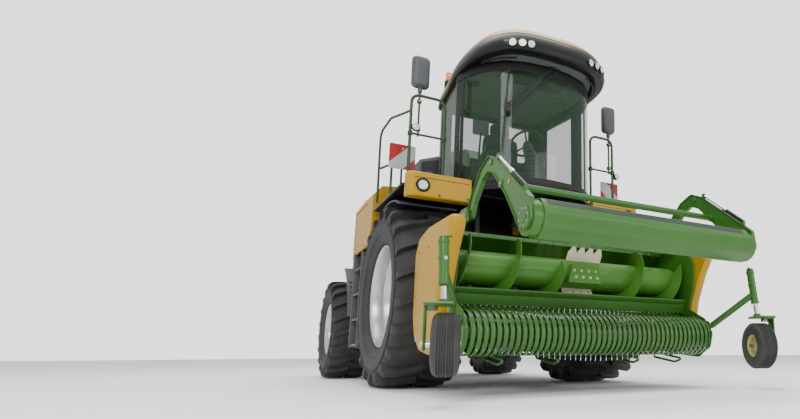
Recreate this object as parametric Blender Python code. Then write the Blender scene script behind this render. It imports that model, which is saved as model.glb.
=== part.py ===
"""Self-propelled forage harvester with a pick-up header, built piece by piece.

Metres, +Z up, +X forward, +Y to the machine's left. Sizes below are measured
from a point on the ground under the front axle; ORIGIN_X then moves the whole
machine so that its origin is the bottom centre of its box.
"""
import math
import bpy
import bmesh
from mathutils import Matrix, Vector

# ---------------------------------------------------------------- sizes
ORIGIN_X, ORIGIN_Y = 0.8942, -0.0137   # front axle, from the machine's origin
GAP = 0.0003              # between pieces that touch
RUN = 0.006               # clearance of pieces that move

FRONT = dict(x=0.0, y=1.115, r=0.948, half=0.385, rim=0.540, segs=28)
REAR = dict(x=-3.07, y=1.2265, r=0.720, half=0.2935, rim=0.3835, segs=24)
GUIDE = dict(x=2.402, y=1.55, z=0.401, r=0.215, half=0.098)
GUIDE_YAW = -0.35         # both guide wheels trail turned the same way
LEAN = 0.118              # header posts lean back with the raised header

KINGPIN_Y = 1.02
SWING_Z = 0.72            # rear axle's swing pin

CAB_FLOOR, CAB_TOP, CAB_WALL = 2.02, 3.48, 0.05
GLASS_LOW, GLASS_HIGH, GLASS_T = 2.16, 3.43, 0.010
# cab plan, right half, rear to front: x, half width
CAB_PLAN = [(-0.55, 0.64), (-0.47, 0.72), (0.45, 0.83), (0.67, 0.755), (0.84, 0.645),
            (0.975, 0.50), (1.06, 0.27), (1.09, 0)]
DECK_Z = 2.02

LIFT_AXIS = (0.50, 1.15)     # x, z of the header's lift axis
TILT_Z = 1.10
AUGER = dict(x=1.48, z=1.085, r=0.30, tube=0.15, trough=0.335)
REEL = dict(x=1.884, z=0.5025, core=0.105, band=0.183)
HEADER_HALF = 1.27
BAND_COUNT, BAND_PITCH, BAND_W, BAND_T = 45, 0.055, 0.036, 0.006
PRESS_AXIS = (1.66, 1.50)
PRESS_TUBE = dict(x=2.70, z=1.27, r=0.155, half=1.03)
LIFT_BASE, LIFT_EYE, LIFT_Y = (0.24, 0.66), (1.00, 0.74), 0.30
SPOUT_AXIS_X, SPOUT_PIVOT = -1.00, (-1.26, 3.02)
FLAP_PIVOT = (-4.33, 3.06)

# colour table: name, base colour, roughness, metallic
PAINTS = {
    "yellow": ((0.78, 0.50, 0.06), 0.35, 0.0),
    "green": ((0.07, 0.22, 0.05), 0.38, 0.0),
    "grey_plastic": ((0.09, 0.10, 0.11), 0.60, 0.0),
    "black": ((0.02, 0.02, 0.022), 0.60, 0.2),
    "tyre": ((0.025, 0.025, 0.026), 0.85, 0.0),
    "rim": ((0.55, 0.56, 0.56), 0.38, 0.7),
    "steel": ((0.60, 0.60, 0.60), 0.25, 0.9),
    "glass": ((0.55, 0.68, 0.58), 0.05, 0.0),
    "cloth": ((0.06, 0.06, 0.07), 0.90, 0.0),
    "warning": ((0.75, 0.08, 0.05), 0.45, 0.0),
    "iron": ((0.12, 0.12, 0.12), 0.55, 0.6),
}

for old in list(bpy.data.objects):
    bpy.data.objects.remove(old, do_unlink=True)


# ---------------------------------------------------------------- tools
def paint(name):
    mat = bpy.data.materials.get(name)
    if mat is None:
        colour, rough, metal = PAINTS[name]
        mat = bpy.data.materials.new(name)
        mat.use_nodes = True
        shader = mat.node_tree.nodes["Principled BSDF"]
        shader.inputs["Base Color"].default_value = colour + (1.0,)
        shader.inputs["Roughness"].default_value = rough
        shader.inputs["Metallic"].default_value = metal
    return mat


def mesh_from(verts, faces):
    """A bmesh of verts and faces with its normals facing out."""
    bm = bmesh.new()
    vs = [bm.verts.new(v) for v in verts]
    for f in faces:
        bm.faces.new([vs[i] for i in f])
    bmesh.ops.recalc_face_normals(bm, faces=bm.faces)
    return bm


def loft(rings, closed=False):
    """Closed solid through rings of equal length; closed joins last to first."""
    n = len(rings[0])
    verts = [p for ring in rings for p in ring]
    faces = []
    last = len(rings) if closed else len(rings) - 1
    for i in range(last):
        a, b = i * n, ((i + 1) % len(rings)) * n
        for j in range(n):
            k = (j + 1) % n
            faces.append((a + j, a + k, b + k, b + j))
    if not closed:
        faces.append(tuple(range(n)))
        faces.append(tuple(range((len(rings) - 1) * n, len(rings) * n)))
    return mesh_from(verts, faces)


def prism(pts, axis, a, b):
    """Outline extruded along an axis. For y the outline is (x, z), for z
    (x, y), for x (y, z)."""
    def at(p, t):
        return {"x": (t, p[0], p[1]), "y": (p[0], t, p[1]), "z": (p[0], p[1], t)}[axis]
    return loft([[at(p, a) for p in pts], [at(p, b) for p in pts]])


def box(x0, x1, y0, y1, z0, z1):
    return prism([(x0, y0), (x1, y0), (x1, y1), (x0, y1)], "z", z0, z1)


def frame_of(direction):
    d = Vector(direction).normalized()
    up = Vector((0, 0, 1)) if abs(d.z) < 0.9 else Vector((1, 0, 0))
    u = d.cross(up).normalized()
    return d, u, u.cross(d).normalized()


def cyl(p0, p1, r0, n=12, r1=None, turn=0.0):
    p0, p1 = Vector(p0), Vector(p1)
    _, u, v = frame_of(p1 - p0)
    rings = []
    for p, r in ((p0, r0), (p1, r0 if r1 is None else r1)):
        rings.append([p + (u * math.cos(turn + 2 * math.pi * i / n)
                           + v * math.sin(turn + 2 * math.pi * i / n)) * r
                      for i in range(n)])
    return loft(rings)


def tube(points, r, n=8):
    """Round bar along a polyline with mitred corners."""
    pts = [Vector(p) for p in points]
    rings, u = [], None
    for i, p in enumerate(pts):
        d0 = (p - pts[i - 1]).normalized() if i else (pts[1] - p).normalized()
        d1 = (pts[i + 1] - p).normalized() if i < len(pts) - 1 else d0
        d = (d0 + d1).normalized()
        if u is None:
            _, u, _ = frame_of(d)
        u = (u - d * u.dot(d)).normalized()
        v = d.cross(u)
        rings.append([p + (u * math.cos(2 * math.pi * k / n)
                           + v * math.sin(2 * math.pi * k / n)) * r for k in range(n)])
    return loft(rings)


def turned(profile, centre, side, n, hole=True):
    """Profile of (out, radius) turned about the Y axis through centre.
    out runs away from the machine on the given side. With hole False the
    profile starts and ends on the axis."""
    cx, cy, cz = centre
    rings = profile if hole else profile[1:-1]
    verts, faces = [], []
    m = len(rings)
    for i in range(n):
        a = 2 * math.pi * i / n
        for out, r in rings:
            verts.append((cx + r * math.cos(a), cy + side * out, cz + r * math.sin(a)))
    for i in range(n):
        a, b = i * m, ((i + 1) % n) * m
        for j in range(m if hole else m - 1):
            k = (j + 1) % m
            faces.append((a + j, a + k, b + k, b + j))
    if not hole:
        for end, j in ((profile[0], 0), (profile[-1], m - 1)):
            verts.append((cx, cy + side * end[0], cz))
            c = len(verts) - 1
            for i in range(n):
                faces.append((i * m + j, ((i + 1) % n) * m + j, c))
    return mesh_from(verts, faces)


def merged(parts):
    out = bmesh.new()
    for bm in parts:
        tmp = bpy.data.meshes.new("tmp")
        bm.to_mesh(tmp)
        out.from_mesh(tmp)
        bpy.data.meshes.remove(tmp)
    return out


def moved(bm, matrix):
    bmesh.ops.transform(bm, matrix=matrix, verts=bm.verts)
    return bm


def as_object(name, bm):
    mesh = bpy.data.meshes.new(name)
    bm.to_mesh(mesh)
    obj = bpy.data.objects.new(name, mesh)
    bpy.context.scene.collection.objects.link(obj)
    return obj


def boolean(base, operation, tools):
    """base with all tools joined to it or cut from it, one after another."""
    for tool in tools:
        other = as_object("tool", tool)
        mod = base.modifiers.new("cut", "BOOLEAN")
        mod.operation, mod.object, mod.solver = operation, other, "EXACT"
        bpy.context.view_layer.update()
        graph = bpy.context.evaluated_depsgraph_get()
        mesh = bpy.data.meshes.new_from_object(base.evaluated_get(graph))
        base.modifiers.clear()
        old = base.data
        base.data = mesh
        bpy.data.meshes.remove(old)
        bpy.data.objects.remove(other, do_unlink=True)


def node(name, colour, solids, cuts=(), origin=(0, 0, 0), smooth=35):
    """One finished piece. origin is its joint's place, where it has one."""
    solids = list(solids)
    obj = as_object(name, solids[0])
    boolean(obj, "UNION", solids[1:])
    boolean(obj, "DIFFERENCE", cuts)
    o = Vector(origin)
    obj.data.transform(Matrix.Translation(-o))
    obj.location = o + Vector((ORIGIN_X, ORIGIN_Y, 0))
    obj.data.name = name
    obj.data.materials.clear()
    obj.data.materials.append(paint(colour))
    obj.data.shade_smooth()
    obj.data.set_sharp_from_angle(angle=math.radians(smooth))
    return obj


def inset(pts, d):
    """Plan outline moved inwards by d (outline runs anticlockwise)."""
    out, n = [], len(pts)
    for i, p in enumerate(pts):
        a, b = pts[i - 1], pts[(i + 1) % n]
        e0 = Vector((p[0] - a[0], p[1] - a[1])).normalized()
        e1 = Vector((b[0] - p[0], b[1] - p[1])).normalized()
        n0, n1 = Vector((-e0.y, e0.x)), Vector((-e1.y, e1.x))
        m = (n0 + n1)
        m = m / max(m.dot(m), 1e-9) * 2
        out.append((p[0] + m.x * d, p[1] + m.y * d))
    return out


def arc(cx, cz, r, a0, a1, steps):
    return [(cx + r * math.cos(math.radians(a0 + (a1 - a0) * i / steps)),
             cz + r * math.sin(math.radians(a0 + (a1 - a0) * i / steps)))
            for i in range(steps + 1)]


def strip(inner, outer):
    """Outline between two polylines."""
    return list(inner) + list(reversed(outer))


SIDES = (("left", 1), ("right", -1))

# ---------------------------------------------------------------- chassis
rails = []
for _, s in SIDES:
    # outline in plan: wide ahead of the engine, narrow between the rear wheels
    plan = [(0.34, 0.44), (0.34, 0.52), (-2.05, 0.52), (-2.35, 0.38), (-4.02, 0.38),
            (-4.02, 0.28), (-2.38, 0.28), (-2.08, 0.44)]
    rails.append(prism([(x, s * y) for x, y in plan], "z", 1.09, 1.29))
# cross members: x0, x1, half length
for x0, x1, half in ((-0.98, -0.88, 0.48), (-2.22, -2.12, 0.45), (-3.28, -2.86, 0.33),
                     (-3.98, -3.88, 0.33)):
    rails.append(box(x0, x1, -half, half, 1.12, 1.26))
for x0, x1 in ((-3.25, -3.205), (-2.935, -2.89)):
    rails.append(box(x0, x1, -0.15, 0.15, 0.62, 1.15))
rails.append(cyl((-3.23, 0, SWING_Z), (-2.91, 0, SWING_Z), 0.05, 16))
# rear counterweight with its hitch plate
rails.append(box(-4.24, -4.00, -0.92, 0.92, 0.98, 1.40))
rails.append(box(-4.30, -4.20, -0.14, 0.14, 0.86, 1.10))
# brackets and cross shaft that carry the lift cylinders
for _, s in SIDES:
    rails.append(box(0.18, 0.30, *sorted((s * 0.445, s * 0.515)), 0.60, 1.12))
rails.append(cyl((LIFT_BASE[0], -0.50, LIFT_BASE[1]), (LIFT_BASE[0], 0.50, LIFT_BASE[1]), 0.03, 12))
node("chassis_frame", "black", rails)

axle = [cyl((0, -0.66, FRONT["r"]), (0, 0.66, FRONT["r"]), 0.138, 20)]
for _, s in SIDES:
    axle.append(cyl((0, s * 0.62, FRONT["r"]), (0, s * 1.06, FRONT["r"]), 0.25, 24))
    axle.append(box(-0.11, 0.11, *sorted((s * 0.43, s * 0.53)), 0.98, 1.09 - GAP))
node("front_axle", "iron", axle)

node("engine_block", "iron", [box(-3.72, -2.42, -0.42, 0.42, 1.34, 2.24)])

# chopper housing and the tower that the spout turns on
housing = [(0.46, 1.12), (0.55, 1.30), (0.47, 1.56), (0.20, 1.72), (-0.40, 1.80),
           (-0.70, 1.90), (-0.75, 2.62), (-1.25, 2.62), (-1.25, 1.75), (-0.95, 1.36),
           (-0.60, 1.12)]
chopper = [prism(housing, "y", -0.42, 0.42)]
chopper.append(cyl((LIFT_AXIS[0], -0.47, LIFT_AXIS[1]), (LIFT_AXIS[0], 0.47, LIFT_AXIS[1]), 0.05, 16))
node("chopper_housing", "black", chopper)

# ---------------------------------------------------------------- deck
deck = [box(-0.58, 0.70, -1.45, 1.45, 1.99, DECK_Z - GAP)]
for _, s in SIDES:
    deck.append(prism([(0.66, s * 0.76), (0.78, s * 0.76), (0.78, s * 1.38), (0.74, s * 1.42),
                       (0.66, s * 1.42)], "z", 1.87, 2.12))
    for x0, x1 in ((-0.56, -0.46), (0.16, 0.26)):
        deck.append(box(x0, x1, *sorted((s * 0.45, s * 0.51)), 1.29 + GAP, 2.0))
deck.append(prism([(-1.20, 2.00), (-0.96, 2.00), (-0.95, 2.495), (-1.19, 2.41)], "x", -0.12, 0.34))
node("deck", "yellow", deck)

# ---------------------------------------------------------------- cab
plan = [(x, -y) for x, y in CAB_PLAN] + [(x, y) for x, y in reversed(CAB_PLAN[:-1])]


def ring(scale, z):
    return [(0.15 + (x - 0.15) * scale, y * scale, z) for x, y in plan]


def side_slab(s, x0, x1, z0, z1, d0, d1):
    """Flat slab in the cab's side wall, between depths d0 and d1."""
    (xa, ya), (xb, yb) = CAB_PLAN[1], CAB_PLAN[2]
    k = (yb - ya) / (xb - xa)
    def y(x, d):
        return s * (ya + k * (x - xa) - d)
    return prism([(x0, y(x0, d0)), (x1, y(x1, d0)), (x1, y(x1, d1)), (x0, y(x0, d1))], "z", z0, z1)


def screen(d0, d1, z0, z1, x_from):
    """Wrap-round slab that follows the front of the plan."""
    def line(d):
        pts = inset(plan, d)
        front = [p for p in pts if p[0] > 0.46]
        k = (CAB_PLAN[2][1] - CAB_PLAN[1][1]) / (CAB_PLAN[2][0] - CAB_PLAN[1][0])
        y = CAB_PLAN[1][1] + k * (x_from - CAB_PLAN[1][0]) - d
        return [(x_from, -y)] + front + [(x_from, y)]
    return prism(strip(line(d0), line(d1)), "z", z0, z1)


window_side = (-0.38, 0.34)
cab_cuts = [
    loft([[(x, y, CAB_FLOOR + 0.07) for x, y in inset(plan, CAB_WALL)],
          [(x, y, CAB_TOP + 0.05) for x, y in inset(plan, CAB_WALL)]]),
    screen(-0.05, 0.09, GLASS_LOW - GAP, GLASS_HIGH + GAP, 0.40),
    side_slab(-1, window_side[0], window_side[1], GLASS_LOW, GLASS_HIGH, -0.05, 0.10),
    side_slab(1, window_side[0], window_side[1], 2.12, GLASS_HIGH, -0.05, 0.10),
    box(-0.70, -0.45, -0.56, 0.56, 2.72, 3.40),
]
node("cab_frame", "black", [loft([ring(1.0, CAB_FLOOR), ring(1.0, CAB_TOP)])], cab_cuts)
node("windscreen", "glass", [screen(0.001, 0.001 + GLASS_T, GLASS_LOW, GLASS_HIGH, 0.40 + GAP)])
node("side_glass", "glass", [side_slab(-1, window_side[0] + GAP, window_side[1] - GAP,
                                       GLASS_LOW + GAP, GLASS_HIGH - GAP, 0.004, 0.004 + GLASS_T)])
node("rear_glass", "glass", [box(-0.535, -0.535 + GLASS_T, -0.56 + GAP, 0.56 - GAP, 2.72 + GAP, 3.40 - GAP)])

# roof: its own plan at the brow's lower edge, then along scale, across scale, height
ROOF_PLAN = [(-0.62, 0.60), (-0.53, 0.74), (0.40, 0.86), (0.80, 0.83), (1.05, 0.75), (1.22, 0.62),
             (1.31, 0.46), (1.35, 0.25), (1.36, 0)]
roof_plan = [(x, -y) for x, y in ROOF_PLAN] + [(x, y) for x, y in reversed(ROOF_PLAN[:-1])]
roof_rings = [[(0.15 + (x - 0.15) * kx, y * ky, z) for x, y in roof_plan] for kx, ky, z in
              ((0.99, 0.99, 3.435), (1.0, 1.0, 3.455), (0.99, 0.98, 3.56), (0.955, 0.92, 3.66),
               (0.89, 0.85, 3.75), (0.77, 0.73, 3.82), (0.60, 0.56, 3.86), (0.40, 0.38, 3.875))]
cab_hood = [[(0.15 + (x - 0.15) * 1.012, y * 1.012, z) for x, y in plan] for z in (3.40, CAB_TOP + GAP)]
node("cab_roof", "yellow", [loft(roof_rings)], [loft(cab_hood)])

# left door, hinged at its rear edge
door_x = (window_side[0] + 0.008, window_side[1] - 0.008)
hinge = (door_x[0], CAB_PLAN[1][1] + (door_x[0] - CAB_PLAN[1][0]) * 0.11 / 0.92)
node("cab_door", "black", [side_slab(1, door_x[0], door_x[1], 2.128, GLASS_HIGH - 0.008, 0.002, 0.047)],
     [side_slab(1, door_x[0] + 0.06, door_x[1] - 0.06, 2.30, GLASS_HIGH - 0.07, -0.05, 0.10)],
     origin=(hinge[0], hinge[1], 2.128))
node("door_glass", "glass", [side_slab(1, door_x[0] + 0.06 + GAP, door_x[1] - 0.06 - GAP, 2.30 + GAP,
                                       GLASS_HIGH - 0.07 - GAP, 0.006, 0.006 + GLASS_T)],
     origin=(hinge[0], hinge[1], 2.128))

# steering column with its wheel, and the driver's seat
wheel_c, wheel_tilt = Vector((0.42, 0.05, 2.80)), math.radians(32)
wheel_up = Vector((-math.sin(wheel_tilt), 0, math.cos(wheel_tilt)))
rim_rings = []
for i in range(20):
    a = 2 * math.pi * i / 20
    out = Vector((math.cos(wheel_tilt), 0, math.sin(wheel_tilt))) * math.cos(a) + Vector((0, 1, 0)) * math.sin(a)
    rim_rings.append([wheel_c + out * (0.19 + 0.015 * math.cos(b)) + wheel_up * 0.015 * math.sin(b)
                      for b in (2 * math.pi * k / 6 for k in range(6))])
column = [loft(rim_rings, closed=True),
          cyl(wheel_c - wheel_up * 0.06, wheel_c + wheel_up * 0.01, 0.05, 10)]
for a in (90, 210, 330):
    out = Vector((math.cos(wheel_tilt), 0, math.sin(wheel_tilt))) * math.cos(math.radians(a)) \
        + Vector((0, 1, 0)) * math.sin(math.radians(a))
    column.append(cyl(wheel_c - wheel_up * 0.01, wheel_c + out * 0.188, 0.012, 6))
column.append(cyl(wheel_c - wheel_up * 0.04, (0.60, 0.05, 2.45), 0.06, 10, 0.085))
column.append(cyl((0.60, 0.05, 2.50), (0.63, 0.05, 2.108), 0.085, 10, 0.10))
node("steering_column", "grey_plastic", column)
seat = [box(-0.22, 0.26, -0.24, 0.24, 2.48, 2.62), box(-0.34, -0.20, -0.24, 0.24, 2.50, 3.12),
        box(-0.14, 0.16, -0.18, 0.18, 2.09 + GAP, 2.50), box(-0.30, -0.21, -0.13, 0.13, 3.10, 3.26)]
for _, s in SIDES:
    seat.append(box(-0.20, 0.16, *sorted((s * 0.26, s * 0.32)), 2.70, 2.76))
    seat.append(box(-0.29, -0.20, *sorted((s * 0.23, s * 0.30)), 2.66, 2.74))
node("driver_seat", "cloth", seat)

# ---------------------------------------------------------------- body
# stations from front to rear: x, half width, crown height
BODY = [(-0.62, 1.45, 2.42), (-1.62, 1.45, 2.46), (-2.60, 1.27, 2.46), (-3.60, 1.09, 2.42),
        (-4.14, 0.98, 2.32)]
BODY_LOW, BODY_WALL = 1.62, 0.04


def body_ring(x, w, top, d=0.0, low=BODY_LOW):
    half = [(w - d, low), (w - d, 2.20), (w - 0.10 - d, top - 0.09 - d), (0.45, top - d)]
    return [(x, y, z) for y, z in half] + [(x, -y, z) for y, z in reversed(half)]


body_inner = [body_ring(x + (-BODY_WALL if i == 0 else BODY_WALL if i == len(BODY) - 1 else 0), w, t,
                        BODY_WALL, 1.50) for i, (x, w, t) in enumerate(BODY)]
cover_x, cover_z = (-1.58, -0.86), (1.60, 2.17)
body_cuts = [loft(body_inner), box(-1.31, -0.50, -0.48, 0.48, 1.4, 2.8),
             cyl((0, -1.6, FRONT["r"]), (0, 1.6, FRONT["r"]), 1.044, 48)]
for _, s in SIDES:
    body_cuts.append(box(cover_x[0], cover_x[1], *sorted((s * 1.35, s * 1.50)), 1.5, cover_z[1]))
body_cuts.append(box(-4.30, -4.00, -0.80, 0.80, 1.70, 2.20))
node("body_shell", "yellow", [loft([body_ring(x, w, t) for x, w, t in BODY])], body_cuts)
for name, s in SIDES:
    panel = [(s * 1.412, 1.62), (s * 1.448, 1.62), (s * 1.448, cover_z[1] - RUN), (s * 1.412, cover_z[1] - RUN)]
    node("side_cover_" + name, "yellow", [prism(panel, "x", cover_x[0] + RUN, cover_x[1] - RUN)],
         origin=(-1.15, s * 1.445, cover_z[1] - RUN))
node("rear_screen", "grey_plastic", [box(-4.138, -4.106, -0.80 + RUN, 0.80 - RUN, 1.70 + RUN, 2.20 - RUN)],
     origin=(-4.138, 0.80 - RUN, 1.95))

# ---------------------------------------------------------------- mudguards
for name, s in SIDES:
    guard = strip(arc(0, FRONT["r"], 1.008, 64, 158, 12), arc(0, FRONT["r"], 1.038, 64, 158, 12))
    node("front_mudguard_" + name, "grey_plastic", [prism(guard, "y", s * 0.78, s * 1.42)])
    guard = strip(arc(REAR["x"], REAR["r"], 1.00, 8, 58, 7), arc(REAR["x"], REAR["r"], 1.03, 8, 58, 7))
    node("rear_mudguard_" + name, "grey_plastic",
         [prism(guard, "y", s * 0.98, s * 1.40),
          box(-2.58, -2.50, *sorted((s * 1.05, s * 1.22)), 1.57, BODY_LOW - GAP)])

# ---------------------------------------------------------------- ladders
for name, s in SIDES:
    rungs = [box(x, x + 0.03, *sorted((s * 1.26, s * 1.44)), 0.42, BODY_LOW - GAP) for x in (-1.60, -1.15)]
    rungs += [box(-1.59, -1.13, *sorted((s * 1.27, s * 1.43)), z, z + 0.03) for z in (0.44, 0.76, 1.08, 1.40)]
    node("ladder_" + name, "grey_plastic", rungs)

# ---------------------------------------------------------------- railings, mirrors, plates
# per side: sign, x of the posts, inner and outer post y
for name, s, px, yi, yo in (("left", 1, 0.42, 0.96, 1.30), ("right", -1, 0.42, 0.96, 1.33)):
    foot = DECK_Z + GAP
    r = 0.017
    ym = 1.247
    bars = [tube([(px, s * yi, foot), (px, s * yi, 3.04), (px, s * (yi + 0.05), 3.09),
                  (px, s * (yo - 0.07), 3.04), (px, s * yo, 2.97), (px, s * yo, foot)], r),
            tube([(px, s * yi, 2.645), (px, s * yo, 2.645)], 0.013, 6),
            tube([(px - 0.001, s * ym, 2.62), (px - 0.001, s * ym, 3.17 - GAP)], 0.012, 6),
            tube([(px, s * yo, 2.93), (0.10, s * 1.46, 2.89), (0.02, s * 1.48, 2.82),
                  (-0.30, s * 1.48, 2.08), (-0.34, s * 1.44, DECK_Z + 0.02)], 0.014, 6),
            tube([(-0.16, s * 1.48, 2.395), (0.04, s * 1.41, 2.40), (0.04, s * 1.41, DECK_Z + GAP)], 0.012, 6)]
    node("railing_" + name, "green", bars)
    # mirror housing in plan: x offset, y offset
    m = [(-0.03, -0.10), (0.03, -0.10), (0.055, -0.06), (0.06, 0.0), (0.055, 0.06), (0.03, 0.10), (-0.03, 0.10)]
    node("mirror_" + name, "grey_plastic", [prism([(px + x, s * ym + y) for x, y in m], "z", 3.17, 3.55)])
    wx = 0.257
    node("warning_plate_" + name, "warning",
         [box(wx, wx + 0.012, *sorted((s * 1.217, s * 1.497)), 2.28, 2.56),
          box(wx - 0.02, wx + 0.006, *sorted((s * 1.335, s * 1.375)), DECK_Z + GAP, 2.50)])

# ---------------------------------------------------------------- spout
node("spout_turret", "green",
     [cyl((SPOUT_AXIS_X, 0, 2.62 + 0.006), (SPOUT_AXIS_X, 0, 2.76), 0.31, 24),
      prism([(-0.80, 2.70), (-0.78, 2.95), (-0.90, 3.10), (-1.02, 3.15), (-1.10, 3.12), (-1.20, 2.88), (-1.20, 2.70)],
            "y", -0.20, 0.20),
      box(-1.30, -1.10, -0.17, -0.14, 2.96, 3.08), box(-1.30, -1.10, 0.14, 0.17, 2.96, 3.08)],
     origin=(SPOUT_AXIS_X, 0, 2.63))
# arm sections: x, centre z, half width, half height
ARM = [(-1.24, 3.05, 0.13, 0.10), (-1.45, 3.12, 0.20, 0.16), (-2.10, 3.24, 0.19, 0.15),
       (-2.90, 3.25, 0.17, 0.13), (-3.70, 3.15, 0.155, 0.115), (-4.30, 2.98, 0.145, 0.10)]
arm_rings = []
for i, (x, z, w, h) in enumerate(ARM):
    j = max(0, min(len(ARM) - 2, i))
    slope = (ARM[j + 1][1] - ARM[j][1]) / (ARM[j + 1][0] - ARM[j][0])
    if 0 < i < len(ARM) - 1:
        slope = (ARM[i + 1][1] - ARM[i - 1][1]) / (ARM[i + 1][0] - ARM[i - 1][0])
    lean = math.atan(slope)
    arm_rings.append([(x - math.sin(lean) * dz, dy, z + math.cos(lean) * dz) for dy, dz in
                      ((-w, -h), (w, -h), (w, h * 0.8), (w * 0.8, h), (-w * 0.8, h), (-w, h * 0.8))])
node("spout_arm", "green", [loft(arm_rings)],
     [cyl((SPOUT_PIVOT[0], s * 0.132, 3.02), (SPOUT_PIVOT[0], s * 0.24, 3.02), 0.09, 16) for s in (1, -1)],
     origin=(SPOUT_PIVOT[0], 0, SPOUT_PIVOT[1]))
node("spout_flap", "green",
     [prism([(-4.345, 3.12), (-4.335, 3.04), (-4.62, 2.78), (-4.64, 2.81), (-4.42, 3.07)], "y", -0.14, 0.14)],
     origin=(FLAP_PIVOT[0], 0, FLAP_PIVOT[1]))

# ---------------------------------------------------------------- wheels
# tyre profile: out / half width, height between rim and tread (0 to 1)
TYRE = [(-0.78, 0.0), (-0.88, 0.12), (-1.0, 0.45), (-0.95, 0.80), (-0.60, 1.0),
        (0.60, 1.0), (0.95, 0.80), (1.0, 0.45), (0.88, 0.12), (0.78, 0.0)]


def tyre(spec):
    h = spec["r"] - spec["rim"]
    # polygon tips reach the full radius, so the lowest tip stands on the ground
    return [(o * spec["half"], spec["rim"] + k * h) for o, k in TYRE]


def rim(spec, hub_r, hub_out, disc):
    """Drop-centre rim with its disc and hub, closed on the axis."""
    w, r = spec["half"] * 0.78, spec["rim"]
    return [(disc - 0.02, 0), (disc - 0.02, r * 0.60), (disc - 0.05, r - 0.055), (-w * 0.90, r - 0.04),
            (-w - 0.012, r - 0.022), (-w - 0.012, r - GAP), (w + 0.012, r - GAP),
            (w + 0.012, r - 0.022), (w * 0.90, r - 0.04), (disc + 0.02, r - 0.055), (disc + 0.035, r * 0.62),
            (disc + 0.05, hub_r + 0.03), (hub_out - 0.03, hub_r), (hub_out, hub_r * 0.8), (hub_out, 0)]


for name, s in SIDES:
    for end, spec, hub_r, hub_out, disc in (("front", FRONT, 0.20, 0.20, 0.005),
                                                ("rear", REAR, 0.11, 0.13, 0.03)):
        c = (spec["x"], s * spec["y"], spec["r"])
        node("%s_tyre_%s" % (end, name), "tyre",
             [turned(tyre(spec), c, s, spec["segs"])], origin=c)
        node("%s_rim_%s" % (end, name), "rim",
             [turned(rim(spec, hub_r, hub_out, disc), c, s, spec["segs"], hole=False)], origin=c)

# ---------------------------------------------------------------- rear axle
beam = [box(REAR["x"] - 0.08, REAR["x"] + 0.08, -0.90, 0.90, 0.63, 0.81),
        cyl((REAR["x"] - 0.12, 0, SWING_Z), (REAR["x"] + 0.12, 0, SWING_Z), 0.11, 16),
        cyl((REAR["x"] - 0.30, -0.42, 0.72), (REAR["x"] - 0.30, 0.42, 0.72), 0.055, 12)]
for _, s in SIDES:
    beam.append(box(REAR["x"] - 0.32, REAR["x"] - 0.05, *sorted((s * 0.24, s * 0.27)), 0.68, 0.76))
    beam.append(box(REAR["x"] - 0.06, REAR["x"] + 0.06, *sorted((s * 0.88, s * 0.92)), 0.585, 0.855))
    for z in (0.585, 0.825):
        beam.append(box(REAR["x"] - 0.06, REAR["x"] + 0.06, *sorted((s * 0.89, s * 1.07)), z, z + 0.03))
    beam.append(cyl((REAR["x"], s * KINGPIN_Y, 0.60), (REAR["x"], s * KINGPIN_Y, 0.84), 0.022, 12))
node("rear_axle", "black", beam, [cyl((REAR["x"] - 0.3, 0, SWING_Z), (REAR["x"] + 0.3, 0, SWING_Z), 0.052, 16)],
     origin=(REAR["x"], 0, SWING_Z))
for name, s in SIDES:
    k = (REAR["x"], s * KINGPIN_Y)
    node("knuckle_" + name, "iron",
         [cyl((k[0], k[1], 0.621), (k[0], k[1], 0.819), 0.05, 16),
          cyl((k[0], s * (KINGPIN_Y + 0.03), 0.72), (k[0], s * (REAR["y"] + 0.004), 0.72), 0.045, 12)],
         [cyl((k[0], k[1], 0.50), (k[0], k[1], 0.95), 0.024, 12)],
         origin=(k[0], k[1], REAR["r"]))

# ---------------------------------------------------------------- feed housing and lift cylinders
feed = [box(0.66, 1.118, -0.455, 0.455, 0.82, 1.35)]
for _, s in SIDES:
    feed.append(box(0.42, 0.72, *sorted((s * 0.4263, s * 0.455)), 1.06, 1.24))
    for y0, y1 in ((0.24, 0.262), (0.338, 0.36)):
        feed.append(prism([(0.93, 0.84), (0.93, 0.70), (1.06, 0.70), (1.06, 0.84)], "y", s * y0, s * y1))
node("feed_housing", "green", feed,
     [cyl((LIFT_AXIS[0], -0.6, LIFT_AXIS[1]), (LIFT_AXIS[0], 0.6, LIFT_AXIS[1]), 0.051, 16),
      cyl((LIFT_EYE[0], -0.6, LIFT_EYE[1]), (LIFT_EYE[0], 0.6, LIFT_EYE[1]), 0.036, 12)],
     origin=(LIFT_AXIS[0], 0, LIFT_AXIS[1]))
bx, bz = LIFT_BASE
ex, ez = LIFT_EYE
ll = math.hypot(ex - bx, ez - bz)
ux, uz = (ex - bx) / ll, (ez - bz) / ll


def on_lift(y, t):
    return (bx + ux * t, y, bz + uz * t)


barrels, bores, rods = [], [], []
for _, s in SIDES:
    barrels.append(cyl(on_lift(s * LIFT_Y, -0.055), on_lift(s * LIFT_Y, 0.50), 0.052, 14))
    bores.append(cyl(on_lift(s * LIFT_Y, 0.09), on_lift(s * LIFT_Y, 0.60), 0.027, 12))
    rods.append(cyl(on_lift(s * LIFT_Y, 0.25), on_lift(s * LIFT_Y, ll - 0.02), 0.025, 12))
barrels.append(tube([on_lift(-LIFT_Y, 0.36), on_lift(LIFT_Y, 0.36)], 0.016, 8))
bores.append(cyl((bx, -0.6, bz), (bx, 0.6, bz), 0.032, 12))
node("lift_barrels", "black", barrels, bores[:1] + bores[1:], origin=(bx, 0, bz))
rods.append(cyl((ex, -0.38, ez), (ex, 0.38, ez), 0.030, 12))
node("lift_rods", "steel", rods)

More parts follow.
